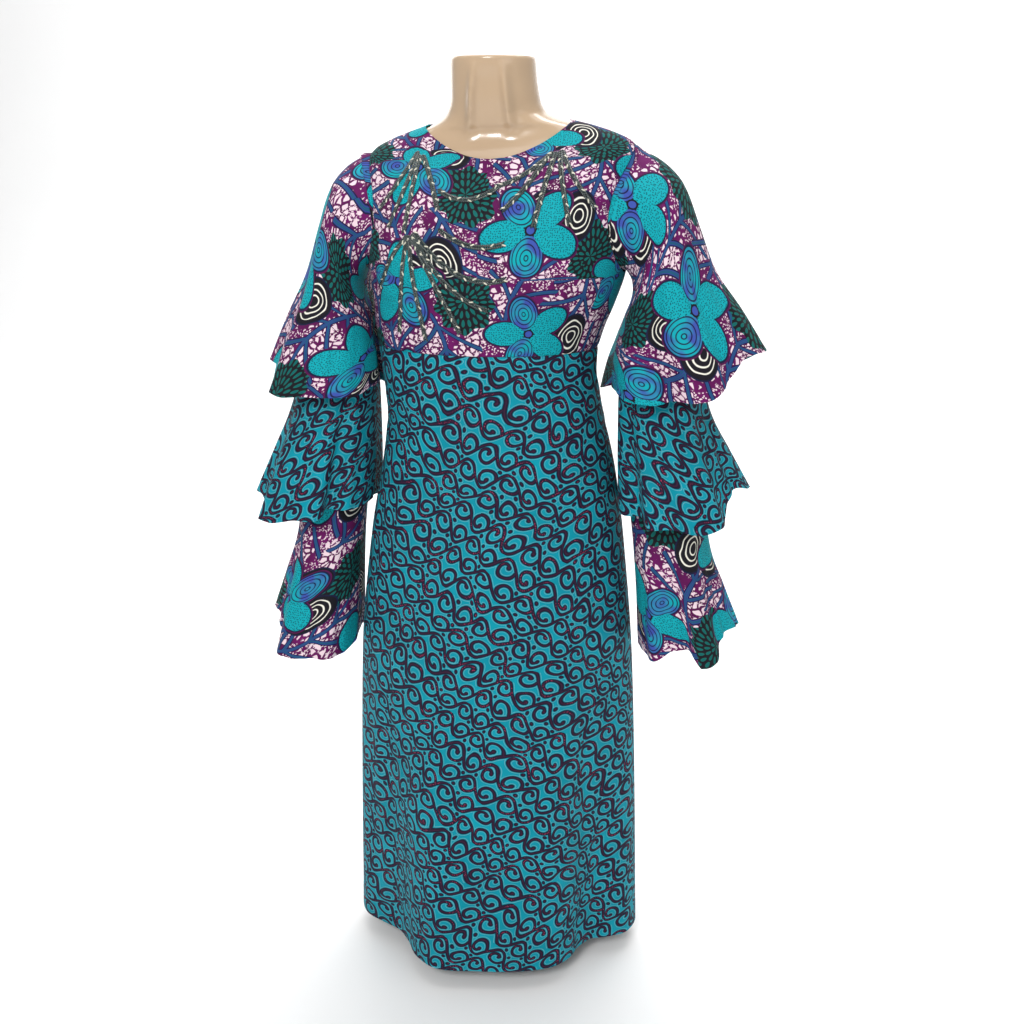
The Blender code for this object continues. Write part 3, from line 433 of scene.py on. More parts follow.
def seam_angle(z):
    """Half of the seam gap at the side, as an azimuth."""
    return SEAM_GAP / 2 / smooth_table(BODICE_SECTIONS, z)[..., 1]


def armhole_angle(z):
    """How far the armhole's edge lies round from the side line at this height."""
    inside = share_of(1 - ((z - ARMHOLE_MIDDLE_Z) / ARMHOLE_HALF_HEIGHT) ** 2)
    return math.radians(ARMHOLE_DEPTH_DEG) * np.sqrt(inside)


def neckline_angle(z, lowest_z):
    """The neckline's azimuth from the side line at this height: 90 degrees at and below its lowest point."""
    share = share_of((z - lowest_z) / (NECK_SIDE_Z - lowest_z))
    half_width = smooth_table(BODICE_SECTIONS, z)[..., 0]
    return np.arccos(np.clip(NECK_HALF_WIDTH * np.sqrt(share) / half_width, 0, 0.985))


# The visible cloth is thinner than the part's wall and lies just inside its outer face
SHELL_OUT = 0.0013
SHELL_IN = 0.0002
BODY = "dress"

# Fineness of the shells
BODICE_HALF_COLUMNS = 48
DART_COLUMN = 32
SKIRT_HALF_COLUMNS = 64
SLEEVE_AROUND = 168
SLEEVE_DOWN = 56
CLOTH_SHARP_DEG = 55
LEAST_ROW_STEP = 0.0006
ROWS_OVER_SEAM = np.array([0.0010, 0.0022, 0.0036])

# Layout of the bake map: the outer and inner sheets side by side, over a strip for the rim
PATCH_FILL = 0.98
SHEET_LEFT = 0.01
SHEET_WIDTH = 0.47
SHEET_LOW = 0.03
SHEET_HEIGHT = 0.94
INNER_SHEET_SHIFT = 0.49
RIM_LENGTH = 0.97
RIM_TOP = 0.022
RIM_LOW = 0.004

# Bust dart at each side front: it runs up a column of the panel and takes in this much cloth at the waist
DART_TOP_Z = 0.985
DART_INTAKE = 0.026
DART_DEPTH = 0.0009
DART_WIDTH = 0.0022
DART_FADE = 0.03

# Seams pull the cloth in along the waist, and turned hems stand out by one more layer
SEAM_PULL = 0.0007
SEAM_WIDTH = 0.0022
HEM_RISE = 0.0003
SLEEVE_HEM_DEPTH = 0.012
SKIRT_HEM_DEPTH = 0.030

# Share of a flounce's length over which it leaves its seat, and how far a crease bows for its length
SEAT_SHARE = 0.30
CREASE_BOW = 0.03

# Where each piece lies on its printed cloth, in metres
PRINT_PLACES = {
    "bodice_front": (0.020, 0.055),
    "bodice_back_left": (0.310, 0.120),
    "bodice_back_right": (0.520, 0.060),
    "skirt_front": (0.000, 0.000),
    "skirt_back_left": (0.410, 0.090),
    "skirt_back_right": (0.730, 0.030),
    "sleeve_left_tier_1": (0.900, 0.210),
    "sleeve_left_tier_2": (1.200, 0.130),
    "sleeve_left_tier_3": (1.430, 0.050),
    "sleeve_left_inner": (1.600, 0.220),
    "sleeve_right_tier_1": (1.830, 0.110),
    "sleeve_right_tier_2": (2.150, 0.040),
    "sleeve_right_tier_3": (2.410, 0.190),
    "sleeve_right_inner": (2.690, 0.080),
}

# Soft creases in fabric metres from each piece's own centre line and lower or upper edge.
# Each row is its start u and v, end u and v, width and height: a ridge, or a trough if negative.
BODICE_CREASES = (
    (-0.150, 0.085, -0.085, 0.060, 0.0060, 0.0012),
    (-0.160, 0.070, -0.095, 0.040, 0.0050, -0.0010),
    (0.155, 0.090, 0.090, 0.062, 0.0060, 0.0013),
    (0.165, 0.072, 0.100, 0.038, 0.0055, -0.0011),
    (-0.120, 0.012, -0.040, 0.020, 0.0050, 0.0008),
    (0.030, 0.010, 0.125, 0.018, 0.0055, 0.0009),
    (-0.030, 0.150, 0.035, 0.146, 0.0080, -0.0012),
    (-0.140, 0.150, -0.095, 0.195, 0.0060, 0.0010),
    (0.140, 0.150, 0.095, 0.200, 0.0060, 0.0011),
    (-0.020, 0.060, 0.030, 0.052, 0.0090, -0.0010),
)
SKIRT_CREASES = (
    (-0.100, 0.020, -0.104, 0.780, 0.0040, 0.0016),
    (0.078, 0.030, 0.082, 0.800, 0.0040, 0.0015),
    (0.100, 0.420, 0.112, 0.815, 0.0080, 0.0022),
    (-0.190, 0.050, -0.120, 0.085, 0.0060, 0.0012),
    (-0.200, 0.085, -0.110, 0.110, 0.0070, -0.0012),
    (0.185, 0.045, 0.110, 0.075, 0.0060, 0.0012),
    (0.200, 0.095, 0.105, 0.130, 0.0075, -0.0014),
    (-0.060, 0.250, -0.050, 0.560, 0.0120, -0.0016),
    (0.030, 0.330, 0.040, 0.800, 0.0130, -0.0018),
    (-0.150, 0.360, -0.160, 0.810, 0.0120, 0.0020),
    (0.150, 0.300, 0.165, 0.700, 0.0110, -0.0018),
    (-0.020, 0.560, -0.025, 0.815, 0.0100, 0.0016),
)

# Ripples down each flounce: how many go round, their shift as a share of one, rise and starting share
RIPPLES = {
    1: ((17, 0.10, 0.0012, 0.35), (29, 0.55, 0.0007, 0.55)),
    2: ((15, 0.30, 0.0016, 0.10), (26, 0.75, 0.0008, 0.35)),
    3: ((14, 0.20, 0.0015, 0.10), (24, 0.45, 0.0008, 0.35)),
    "inner": ((9, 0.15, 0.0008, 0.10),),
}


def creases(u, v, rows):
    """How far the cloth stands out at each place, with a soft rise along each row's slightly bowed line."""
    rise = np.zeros_like(u)
    for u0, v0, u1, v1, width, height in rows:
        along_u, along_v = u1 - u0, v1 - v0
        length = math.hypot(along_u, along_v)
        share = ((u - u0) * along_u + (v - v0) * along_v) / length**2
        bow = CREASE_BOW * length * np.sin(np.pi * share_of(share))
        across = ((v - v0) * along_u - (u - u0) * along_v) / length - bow
        fade = share_of(1 - (2 * share - 1) ** 2)
        rise += height * np.exp(-((across / width) ** 2)) * fade
    return rise


def fabric_down(points):
    """How far down the flat cloth each point lies, in metres: the mean of the columns."""
    v = run_of(steps(points).mean(axis=1))
    return np.repeat(v[:, None], points.shape[1], axis=1)


def fabric_map(points, centre):
    """Places on the flat cloth: along each row from the centre column, and down the cloth."""
    u = np.concatenate([np.zeros((len(points), 1)), np.cumsum(steps(points, 1), axis=1)], axis=1)
    return u - u[:, centre : centre + 1], fabric_down(points)


def add_object(name, data):
    made = bpy.data.objects.new(name, data)
    bpy.context.scene.collection.objects.link(made)
    return made


def mesh_object(name, mesh_name, points, faces, finish, sharp_deg=None):
    """A smoothly shaded mesh of one material, with edges sharper than sharp_deg kept sharp."""
    mesh = bpy.data.meshes.new(mesh_name)
    mesh.from_pydata(points, [], faces)
    mesh.materials.append(finish)
    mesh.shade_smooth()
    if sharp_deg:
        mesh.set_sharp_from_angle(angle=math.radians(sharp_deg))
    return add_object(name, mesh)


def shell(name, patches, finish):
    """A thin closed wall. Each patch has outer and inner points and fabric u and v, in grids of one size."""
    shift_u, shift_v = PRINT_PLACES[name]
    outer = np.vstack([patch[0].reshape(-1, 3) for patch in patches])
    inner = np.vstack([patch[1].reshape(-1, 3) for patch in patches])
    _, first, index = np.unique(np.round(outer, 5), axis=0, return_index=True, return_inverse=True)
    index = index.reshape(-1)
    outer, inner = outer[first], inner[first]
    faces, fabric, bake = [], [], []
    start = 0
    for number, (out, into, u, v) in enumerate(patches):
        rows, columns = u.shape
        r, c = np.meshgrid(np.arange(rows - 1), np.arange(columns - 1), indexing="ij")
        corner_r = np.stack([r, r + 1, r + 1, r], axis=-1).reshape(-1, 4)
        corner_c = np.stack([c, c, c + 1, c + 1], axis=-1).reshape(-1, 4)
        middle_r, middle_c = rows // 2, columns // 2
        here = out[middle_r, middle_c]
        facing = np.cross(out[middle_r + 1, middle_c] - here, out[middle_r, middle_c + 1] - here)
        if facing @ (here - into[middle_r, middle_c]) < 0:
            corner_r, corner_c = corner_r[:, ::-1], corner_c[:, ::-1]
        faces.append(index[start + corner_r * columns + corner_c])
        corner_u, corner_v = u[corner_r, corner_c] + shift_u, v[corner_r, corner_c] + shift_v
        fabric.append(np.stack([corner_u, corner_v], axis=-1))
        across = (number + corner_c / (columns - 1) * PATCH_FILL + SHEET_LEFT) / len(patches)
        down = corner_r / (rows - 1) * SHEET_HEIGHT + SHEET_LOW
        bake.append(np.stack([across * SHEET_WIDTH + SHEET_LEFT, down], axis=-1))
        start += rows * columns
    faces, fabric, bake = np.vstack(faces), np.vstack(fabric), np.vstack(bake)
    sound = np.array([len(set(face)) == 4 for face in faces.tolist()])
    faces, fabric, bake = faces[sound], fabric[sound], bake[sound]

    edges = {}
    for face_number, face in enumerate(faces.tolist()):
        for k in range(4):
            edges[face[k], face[(k + 1) % 4]] = (face_number, k)
    rim = [(a, b, *place) for (a, b), place in edges.items() if (b, a) not in edges]
    count = len(outer)
    all_faces = [tuple(face) for face in faces.tolist()]
    all_faces += [tuple(count + i for i in reversed(face)) for face in faces.tolist()]
    all_faces += [(b, a, count + a, count + b) for a, b, _, _ in rim]
    rim_fabric, rim_bake = [], []
    for step, (_, _, face_number, k) in enumerate(rim):
        here, there = fabric[face_number, k], fabric[face_number, (k + 1) % 4]
        rim_fabric.append([there, here, here, there])
        low, high = step / len(rim), (step + 1) / len(rim)
        high, low = RIM_LENGTH * high, RIM_LENGTH * low
        rim_bake.append([(high, RIM_TOP), (low, RIM_TOP), (low, RIM_LOW), (high, RIM_LOW)])
    inner_bake = bake[:, ::-1] + np.array([INNER_SHEET_SHIFT, 0.0])
    points = np.vstack([outer, inner]).tolist()
    made = mesh_object(name + "_cloth", name + "_shell", points, all_faces, finish, CLOTH_SHARP_DEG)
    for layer, values in (
        ("fabric", np.concatenate([fabric, fabric[:, ::-1], np.array(rim_fabric)])),
        ("OFBake", np.concatenate([bake, inner_bake, np.array(rim_bake)])),
    ):
        uv = made.data.uv_layers.new(name=layer)
        uv.data.foreach_set("uv", values.reshape(-1).astype(np.float32))
    return made


def declare(piece, node, area):
    """The piece stands for its node, which is hidden, and rides with the dress."""
    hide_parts(node)
    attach(piece, BODY)


def grid_area(points):
    a, b, c, d = points[:-1, :-1], points[1:, :-1], points[1:, 1:], points[:-1, 1:]
    halves = (np.linalg.norm(np.cross(p - a, q - a), axis=-1) for p, q in ((b, c), (c, d)))
    return float(sum(halves).sum() / 2)


def spaced_rows(groups, least):
    """Sorted heights from several groups, leaving out those nearer than least to an earlier one."""
    kept = []
    for z in np.concatenate([np.atleast_1d(group) for group in groups]):
        if all(abs(z - other) > least for other in kept):
            kept.append(float(z))
    return np.sort(kept)


def fine_bodice_rows(lowest_z):
    low_z = WAIST_Z + SEAM_GAP / 2
    armhole = ARMHOLE_MIDDLE_Z + ARMHOLE_HALF_HEIGHT * np.sin(np.linspace(-np.pi / 2, np.pi / 2, 44))
    neck = lowest_z + (NECK_SIDE_Z - lowest_z) * np.sin(np.linspace(0, np.pi / 2 * 0.985, 30)) ** 2
    fixed = [lowest_z, UNDERARM_Z, ARMHOLE_TOP_Z, low_z, neck[-1]]
    seam = low_z + ROWS_OVER_SEAM
    return spaced_rows([fixed, seam, np.linspace(low_z, UNDERARM_Z, 30), neck, armhole], LEAST_ROW_STEP)


def row_lengths(azimuth, z, way, surface):
    """Distance round from the centre line to each point of the grid, along its own row."""
    share = np.linspace(0, 1, 120)
    lengths = np.zeros_like(azimuth)
    for row in range(len(z)):
        path = way * (np.pi / 2 + (0.002 - np.pi / 2) * share)
        points = surface(path, np.full_like(path, z[row, 0]))
        run = run_of(steps(points))
        turned = np.pi / 2 - np.abs(azimuth[row])
        lengths[row] = np.interp(turned, np.pi / 2 - np.abs(path), run)
    return lengths


def panel_half(surface, azimuth, z, way, side, rows_of_creases, extra):
    """Outer and inner points and the fabric map of one half of a panel. side is 1 on the wearer's left."""
    u = row_lengths(azimuth, z, way, surface) * side
    placed_azimuth = azimuth if side > 0 else np.pi - azimuth
    v = fabric_down(surface(placed_azimuth, z))
    rise = creases(u, v, rows_of_creases) + extra
    outer, inner = (surface(placed_azimuth, z, lift + rise) for lift in (SHELL_OUT, SHELL_IN))
    return outer, inner, u, v


def panels(kind):
    """Each panel's name, its way round, which is below 0 in front, and the sides that it covers."""
    return (
        (f"{kind}_front", -1, (1, -1)),
        (f"{kind}_back_left", 1, (1,)),
        (f"{kind}_back_right", 1, (-1,)),
    )


def seam_pull(z):
    return -SEAM_PULL * np.exp(-(((z - WAIST_Z) / SEAM_WIDTH) ** 2))


def bodice_extra(azimuth, z, front):
    """Seam and dart shaping of the bodice, as a lift."""
    extra = seam_pull(z)
    if front:
        line = azimuth[:, DART_COLUMN : DART_COLUMN + 1]
        across = (azimuth - line) * smooth_table(BODICE_SECTIONS, z)[..., 0]
        share = share_of((DART_TOP_Z - z) / DART_FADE)
        extra = extra - DART_DEPTH * share * np.exp(-((across / DART_WIDTH) ** 2))
    return extra


def half_grid(way, z, to_centre, to_side, columns):
    """Azimuths and heights of half a panel, from the centre line to the side."""
    share = np.linspace(0, 1, columns + 1)
    azimuth = way * (to_centre[:, None] + (to_side - to_centre)[:, None] * share)
    return azimuth, np.repeat(z[:, None], columns + 1, axis=1)


def half_bodice_grid(way, lowest_z, centre_gap):
    z = fine_bodice_rows(lowest_z)
    to_side = np.maximum(seam_angle(z), armhole_angle(z))
    centre = np.pi / 2 - centre_gap / 2 / smooth_table(BODICE_SECTIONS, z)[..., 0]
    to_centre = np.minimum(neckline_angle(z, lowest_z), centre)
    return half_grid(way, z, to_centre, to_side, BODICE_HALF_COLUMNS)


def make_bodice(finish):
    for name, way, sides in panels("bodice"):
        front = way < 0
        lowest_z, gap, cut = NECK_BACK_Z, SEAM_GAP, BODICE_HALF_COLUMNS
        if front:
            lowest_z, gap, cut = NECK_FRONT_Z, 0.0, DART_COLUMN
        azimuth, z = half_bodice_grid(way, lowest_z, gap)
        extra = bodice_extra(azimuth, z, front)
        intake = DART_INTAKE * share_of((DART_TOP_Z - z) / (DART_TOP_Z - WAIST_Z))
        patches, area, widest, longest = [], 0, 0, 0
        for side in sides:
            outer, inner, u, v = panel_half(bodice, azimuth, z, way, side, BODICE_CREASES, extra)
            patches.append(tuple(grid[:, : cut + 1] for grid in (outer, inner, u, v)))
            if front:
                patches.append(tuple(grid[:, cut:] for grid in (outer, inner, u + side * intake, v)))
            area += grid_area(outer)
            widest += float(np.abs(u).max()) + (DART_INTAKE if front else 0)
            longest = max(longest, float(v.max()))
        piece = shell(name, patches, finish)
        declare(piece, name, area)


def make_skirt(finish):
    top = np.linspace(WAIST_Z - SEAM_GAP / 2, WAIST_Z - 0.004, 4)
    body = np.linspace(WAIST_Z - 0.012, HEM_Z + SKIRT_HEM_DEPTH + 0.004, 92)
    hem = np.array([1.1, 1.02, 0.98, 0.9, 0.6, 0.3, 0.0]) * SKIRT_HEM_DEPTH + HEM_Z
    z = np.concatenate([top, body, hem[hem < body[-1] - 0.0004]])
    side_angle = SEAM_GAP / 2 / smooth_table(SKIRT_SECTIONS, z)[..., 0]
    for name, way, sides in panels("skirt"):
        centre = np.pi / 2 - side_angle * (way > 0)
        azimuth, heights = half_grid(way, z, centre, side_angle, SKIRT_HALF_COLUMNS)
        extra = seam_pull(heights) + HEM_RISE * (heights < HEM_Z + SKIRT_HEM_DEPTH)
        patches, area, widest = [], 0, 0
        for side in sides:
            outer, inner, u, v = panel_half(skirt, azimuth, heights, way, side, SKIRT_CREASES, extra)
            patches.append((outer, inner, u, v))
            area += grid_area(outer)
            widest += float(np.abs(u).max())
        piece = shell(name, patches, finish)
        declare(piece, name, area)


def fine_sleeve(table, folds, setting, side_name, ripples, lift):
    """Closed rings of points down a sleeve piece, with the first column repeated at the end."""
    spread, raised, start = setting
    side = 1 if side_name == "left" else -1
    along = np.linspace(0, 1, SLEEVE_DOWN + 1)
    angle = np.linspace(-np.pi, np.pi, SLEEVE_AROUND, endpoint=False)
    reach, drop = periodic_folds(folds, angle) if folds else (np.ones_like(angle), np.zeros_like(angle))
    if start == "armhole":
        spread = spread * np.minimum(along * 6, 1)[:, None]
    points, gap = sleeve_points(table, spread, along, angle, reach, drop - raised)
    if start is not None:
        share = share_of(along / SEAT_SHARE)[:, None, None]
        share = share**2 * (3 - 2 * share)
        points = points * share + flounce_start(start, angle, side, side_name) * (1 - share)
    first = 1 if start == "armhole" else 0
    points[first:] = clear_of_body(points[first:], gap[first:], side)
    points = points + grid_normals(points) * (lift + sleeve_rise(points, along, angle, ripples))[..., None]
    points[..., 0] *= side
    return np.concatenate([points, points[:, :1]], axis=1)


def sleeve_rise(points, along, angle, ripples):
    """Ripples and the turned hem of a sleeve piece. The side against the body stays plain."""
    rise = np.zeros(points.shape[:2])
    open_side = share_of(1.2 + np.cos(angle))
    for turns, shift, height, start in ripples:
        share = share_of((along - start) / (1 - start))[:, None]
        phase = turns * angle + 2 * np.pi * shift + 1.5 * np.sin(2 * angle)
        rise += height * share * np.sin(phase) * open_side
    length = steps(points).mean(axis=1)
    from_hem = length.sum() - run_of(length)
    return rise + HEM_RISE * (from_hem < SLEEVE_HEM_DEPTH)[:, None]


def make_sleeves(motif_finish, scroll_finish):
    """The eight sleeve pieces: on each side three flounces and the inner sleeve that carries two of them."""
    for side in ("left", "right"):
        parts = [
            (f"sleeve_{side}_tier_{tier}", table, FOLDS[side, tier], SETTINGS[side, tier], RIPPLES[tier])
            for tier, table in ((1, TIER_ONE), (2, TIER_TWO), (3, TIER_THREE))
        ]
        inner_parts = inner_table(side), None, INNER_SETTINGS[side], RIPPLES["inner"]
        parts.append((f"sleeve_{side}_inner", *inner_parts))
        for name, table, folds, setting, ripples in parts:
            outer, inner = (
                fine_sleeve(table, folds, setting, side, ripples, lift) for lift in (SHELL_OUT, SHELL_IN)
            )
            u, v = fabric_map(outer, SLEEVE_AROUND // 2)
            motif = name[-1] in "13"
            piece = shell(name, [(outer, inner, u, v)], motif_finish if motif else scroll_finish)
            holder = {"1": "bodice_front_cloth", "r": f"sleeve_{side}_tier_1_cloth"}.get(name[-1])
            holder = holder or f"sleeve_{side}_inner"
            declare(piece, name, grid_area(outer))


# Colours, linear
PLUM = (0.140, 0.008, 0.105)
PLUM_DEEP = (0.085, 0.006, 0.062)
PEBBLE = (0.78, 0.62, 0.68)
TEAL = (0.004, 0.350, 0.405)
TEAL_DEEP = (0.003, 0.100, 0.125)
VIOLET = (0.045, 0.080, 0.360)
NAVY = (0.010, 0.012, 0.045)
INK = (0.010, 0.009, 0.014)
CREAM = (0.84, 0.82, 0.72)
LEAF = (0.006, 0.130, 0.110)
STEM = (0.030, 0.050, 0.230)
SCROLL_GROUND = (0.002, 0.285, 0.375)
SCROLL_INK = (0.011, 0.009, 0.026)
SCROLL_CORE = (0.120, 0.014, 0.050)
SCROLL_SPECK = (0.380, 0.035, 0.085)
SCROLL_HALO = (0.130, 0.370, 0.420)
SHELL_BEIGE = (0.500, 0.355, 0.225)

# Sizes on the printed cloth, in centimetres
CURL_LENGTH = 2.75
CURL_ROW = 2.75
VINE_RISE = 1.20
CURL_RADIUS = 1.25
CURL_TIGHTENING = 0.80
CURL_END = 0.90
CURL_SHIFT = 1.63
STROKE = 0.225
BLOOM_SPACING = 15.0
PETALS = 5
PETAL_OUT = 3.0
PETAL_LENGTH = 2.55
PETAL_WIDTH = 1.75
SCROLL_TURN = 0.55
BULB_RADIUS = 0.09
BUD_RADIUS = 0.04
BUD_HEIGHT = 1.0
BUDLESS_SHARE = 0.45
LEAFLET_LENGTH = 0.92
THREAD_PITCH = 0.055

# Further than any place on a stroke's cell
FAR = 9.0

# Bump of the weave: strength, and depth in metres
WEAVE_STRENGTH = 0.35
WEAVE_DEPTH = 0.0004

# Steps by column and by row that give neighbouring cells unlike numbers
UNEVEN_STEPS = (0.618, 0.3247)
OTHER_STEPS = (0.7549, 0.5698)

# Sockets of a colour mix
MIX_FACTOR, MIX_BELOW, MIX_OVER, MIX_RESULT = 0, 6, 7, 2


def feed(socket, value):
    """Links the socket to a number or to another node's output, or sets its own constant."""
    source = value.socket if isinstance(value, Num) else value
    if isinstance(source, bpy.types.NodeSocket):
        socket.id_data.links.new(source, socket)
    else:
        socket.default_value = (*source, 1) if socket.type == "RGBA" else source


def add_node(tree, kind, inputs, **settings):
    """A new node with these settings, its inputs linked or set."""
    node = tree.nodes.new("ShaderNode" + kind)
    for name, value in settings.items():
        setattr(node, name, value)
    for name, value in inputs.items():
        feed(node.inputs[name], value)
    return node


class Num:
    """A number that a material works out at each point of the surface. Python's operators add its nodes."""

    def __init__(self, tree, socket):
        self.tree = tree
        self.socket = socket

    def math(self, operation, *others, clamp=False):
        inputs = dict(enumerate((self, *others)))
        node = add_node(self.tree, "Math", inputs, operation=operation, use_clamp=clamp)
        return Num(self.tree, node.outputs[0])

    def under(self, edge, soft=0.015):
        """1 where this is under edge and 0 where it is over, with a soft step."""
        return self.math("MULTIPLY_ADD", -1 / (2 * soft), (edge + soft) / (2 * soft), clamp=True)

    def near(self, middle, half, soft=0.012):
        """1 within half of middle."""
        return abs(self - middle).under(half, soft)

    def mix(self, below, over):
        """below where this is 0 and over where it is 1. Each is a colour or a node's colour output."""
        inputs = {MIX_FACTOR: self, MIX_BELOW: below, MIX_OVER: over}
        return add_node(self.tree, "Mix", inputs, data_type="RGBA").outputs[MIX_RESULT]


def math_method(operation):
    return lambda self, *others: self.math(operation, *others)


for method, operation in (
    ("__add__", "ADD"),
    ("__sub__", "SUBTRACT"),
    ("__mul__", "MULTIPLY"),
    ("__truediv__", "DIVIDE"),
    ("__abs__", "ABSOLUTE"),
    ("root", "SQRT"),
    ("floor", "FLOOR"),
    ("fract", "FRACT"),
    ("every", "FLOORED_MODULO"),
    ("least", "MINIMUM"),
    ("most", "MAXIMUM"),
    ("sine", "SINE"),
    ("cosine", "COSINE"),
    ("heading", "ARCTAN2"),
):
    setattr(Num, method, math_method(operation))


def hypot(x, y):
    return (x * x + y * y).root()


def fabric_place(tree, turned=0.0):
    """The place on the flat cloth in centimetres, as two numbers, turned by an angle."""
    uv = add_node(tree, "UVMap", {}, uv_map="fabric")
    apart = add_node(tree, "SeparateXYZ", {0: uv.outputs[0]})
    u, v = (Num(tree, apart.outputs[k]) * 100.0 for k in (0, 1))
    if not turned:
        return u, v
    cos, sin = math.cos(turned), math.sin(turned)
    return u * cos + v * sin, v * cos - u * sin


def as_vector(x, y):
    return add_node(x.tree, "CombineXYZ", {0: x, 1: y}).outputs[0]


def noise(x, y, scale, detail=1.0):
    inputs = {"Scale": scale, "Detail": detail, "Vector": as_vector(x, y)}
    return Num(x.tree, add_node(x.tree, "TexNoise", inputs, noise_dimensions="2D").outputs[0])


def voronoi(x, y, scale, feature="F1", randomness=1.0):
    inputs = {"Scale": scale, "Randomness": randomness, "Vector": as_vector(x, y)}
    node = add_node(x.tree, "TexVoronoi", inputs, voronoi_dimensions="2D", feature=feature)
    return Num(x.tree, node.outputs["Distance"])


def new_material(name, roughness, **settings):
    """A material whose constants are set on the shader's own sockets."""
    made = bpy.data.materials.new(name)
    made.use_nodes = True
    shader = made.node_tree.nodes["Principled BSDF"]
    shader.inputs["Roughness"].default_value = roughness
    for key, value in settings.items():
        shader.inputs[key.replace("_", " ")].default_value = value
    return made, made.node_tree, shader


def add_bump(shader, height, strength, distance):
    inputs = {"Strength": strength, "Distance": distance, "Height": height}
    feed(shader.inputs["Normal"], add_node(shader.id_data, "Bump", inputs).outputs[0])


def weave(shader, x, y):
    """Fine threads of a plain weave and a little unevenness, as bump, with a slightly mottled roughness."""
    across, along = ((place * (2 * math.pi / THREAD_PITCH)).sine() for place in (x, y))
    slub = noise(x * 0.25, y * 4.0, 1.6, 2.0)
    height = across * along * 0.5 + slub * 1.3 + noise(x, y, 0.55, 2.0) * 2.0
    add_bump(shader, height, WEAVE_STRENGTH, WEAVE_DEPTH)
    feed(shader.inputs["Roughness"], noise(x, y, 0.9, 2.0) * 0.16 + 0.56)


def cloth_material(name, colour):
    """A matt woven cotton. colour gives the print's colour output in a material's tree."""
    made, tree, shader = new_material(name, 0.6, Specular_IOR_Level=0.10, Sheen_Weight=0.01)
    feed(shader.inputs["Base Color"], colour(tree))
    weave(shader, *fabric_place(tree))
    return made


def uneven(column, row, rates):
    """A number that follows from a cell's column and row."""
    return column * rates[0] + row * rates[1]


def scroll_strokes(x, y):
    """Distance in centimetres to the nearest stroke: a running vine, a curl in each bend and some buds."""
    row = (y / CURL_ROW).math("ROUND")
    in_y = y - row * CURL_ROW
    x = x + row * CURL_SHIFT
    column = (x / CURL_LENGTH).floor()
    in_x = x - (column + 0.5) * CURL_LENGTH
    up = in_y * (column.every(2.0) * -2.0 + 1.0)
    phase = x * (math.pi / CURL_LENGTH)
    slope = phase.cosine() * (VINE_RISE * math.pi / CURL_LENGTH)
    vine = abs(in_y - phase.sine() * VINE_RISE) / (slope * slope + 1.0).root()
    turned = (up.heading(in_x) * (-1 / (2 * math.pi))).every(1.0)
    curl = abs(turned * (-CURL_TIGHTENING * CURL_RADIUS) + CURL_RADIUS - hypot(in_x, up))
    curl = curl + turned.math("GREATER_THAN", CURL_END) * FAR
    end_angle = -2 * math.pi * CURL_END
    end_radius = CURL_RADIUS * (1 - CURL_TIGHTENING * CURL_END)
    bulb = hypot(in_x - end_radius * math.cos(end_angle), up - end_radius * math.sin(end_angle)) - BULB_RADIUS
    post = (x / CURL_LENGTH + 0.5).floor()
    chosen = uneven(post, row, UNEVEN_STEPS).fract()
    from_post = abs(in_x) * -1.0 + CURL_LENGTH / 2
    bud = hypot(from_post, abs(in_y) - BUD_HEIGHT) - BUD_RADIUS + chosen.under(BUDLESS_SHARE, 0.001) * FAR
    return vine.least(curl).least(bulb).least(bud)


def scroll_colour(tree):
    """Turquoise with a small running scroll in dark strokes, each with a fine light line round it."""
    x, y = fabric_place(tree, SCROLL_TURN)
    warp_x = noise(x, y, 0.09) * 2.8 + noise(y, x, 0.30) * 0.6
    warp_y = noise(x + 31.0, y + 17.0, 0.09) * 3.2 + noise(y + 9.0, x + 5.0, 0.30) * 0.6
    distance = scroll_strokes(x + warp_x, y + warp_y)
    tone = noise(x, y, 0.18, 2.0).under(0.5, 0.25)
    colour = tone.mix(SCROLL_GROUND, tuple(0.78 * c for c in SCROLL_GROUND))
    colour = distance.near(STROKE + 0.10, 0.022).mix(colour, SCROLL_HALO)
    colour = distance.under(STROKE, 0.02).mix(colour, SCROLL_INK)
    colour = (distance.under(0.045, 0.035) * 0.3).mix(colour, SCROLL_CORE)
    specks = voronoi(x, y, 4.5).under(0.24, 0.06)
    spots = noise(x, y, 0.40).under(0.40, 0.05)
    return (specks * spots * distance.under(0.08, 0.03)).mix(colour, SCROLL_SPECK)


def cell(x, y, shift_x, shift_y, spread):
    """Local place in a half-drop repeat, turned and nudged cell by cell, and a number of the cell's own."""
    column = ((x + shift_x) / BLOOM_SPACING).floor()
    drop = column.every(2.0) * (BLOOM_SPACING / 2)
    row = ((y + shift_y + drop) / BLOOM_SPACING).floor()
    first = (uneven(column, row, UNEVEN_STEPS) + shift_x * 0.11).fract()
    second = (uneven(column, row, OTHER_STEPS) + shift_y * 0.07).fract()
    in_x = x + shift_x - (column + 0.5) * BLOOM_SPACING + (first - 0.5) * spread
    in_y = y + shift_y + drop - (row + 0.5) * BLOOM_SPACING + (second - 0.5) * spread
    angle = (first + second * 3.0) * (2 * math.pi)
    cos, sin = angle.cosine(), angle.sine()
    return in_x * cos + in_y * sin, in_y * cos - in_x * sin, second


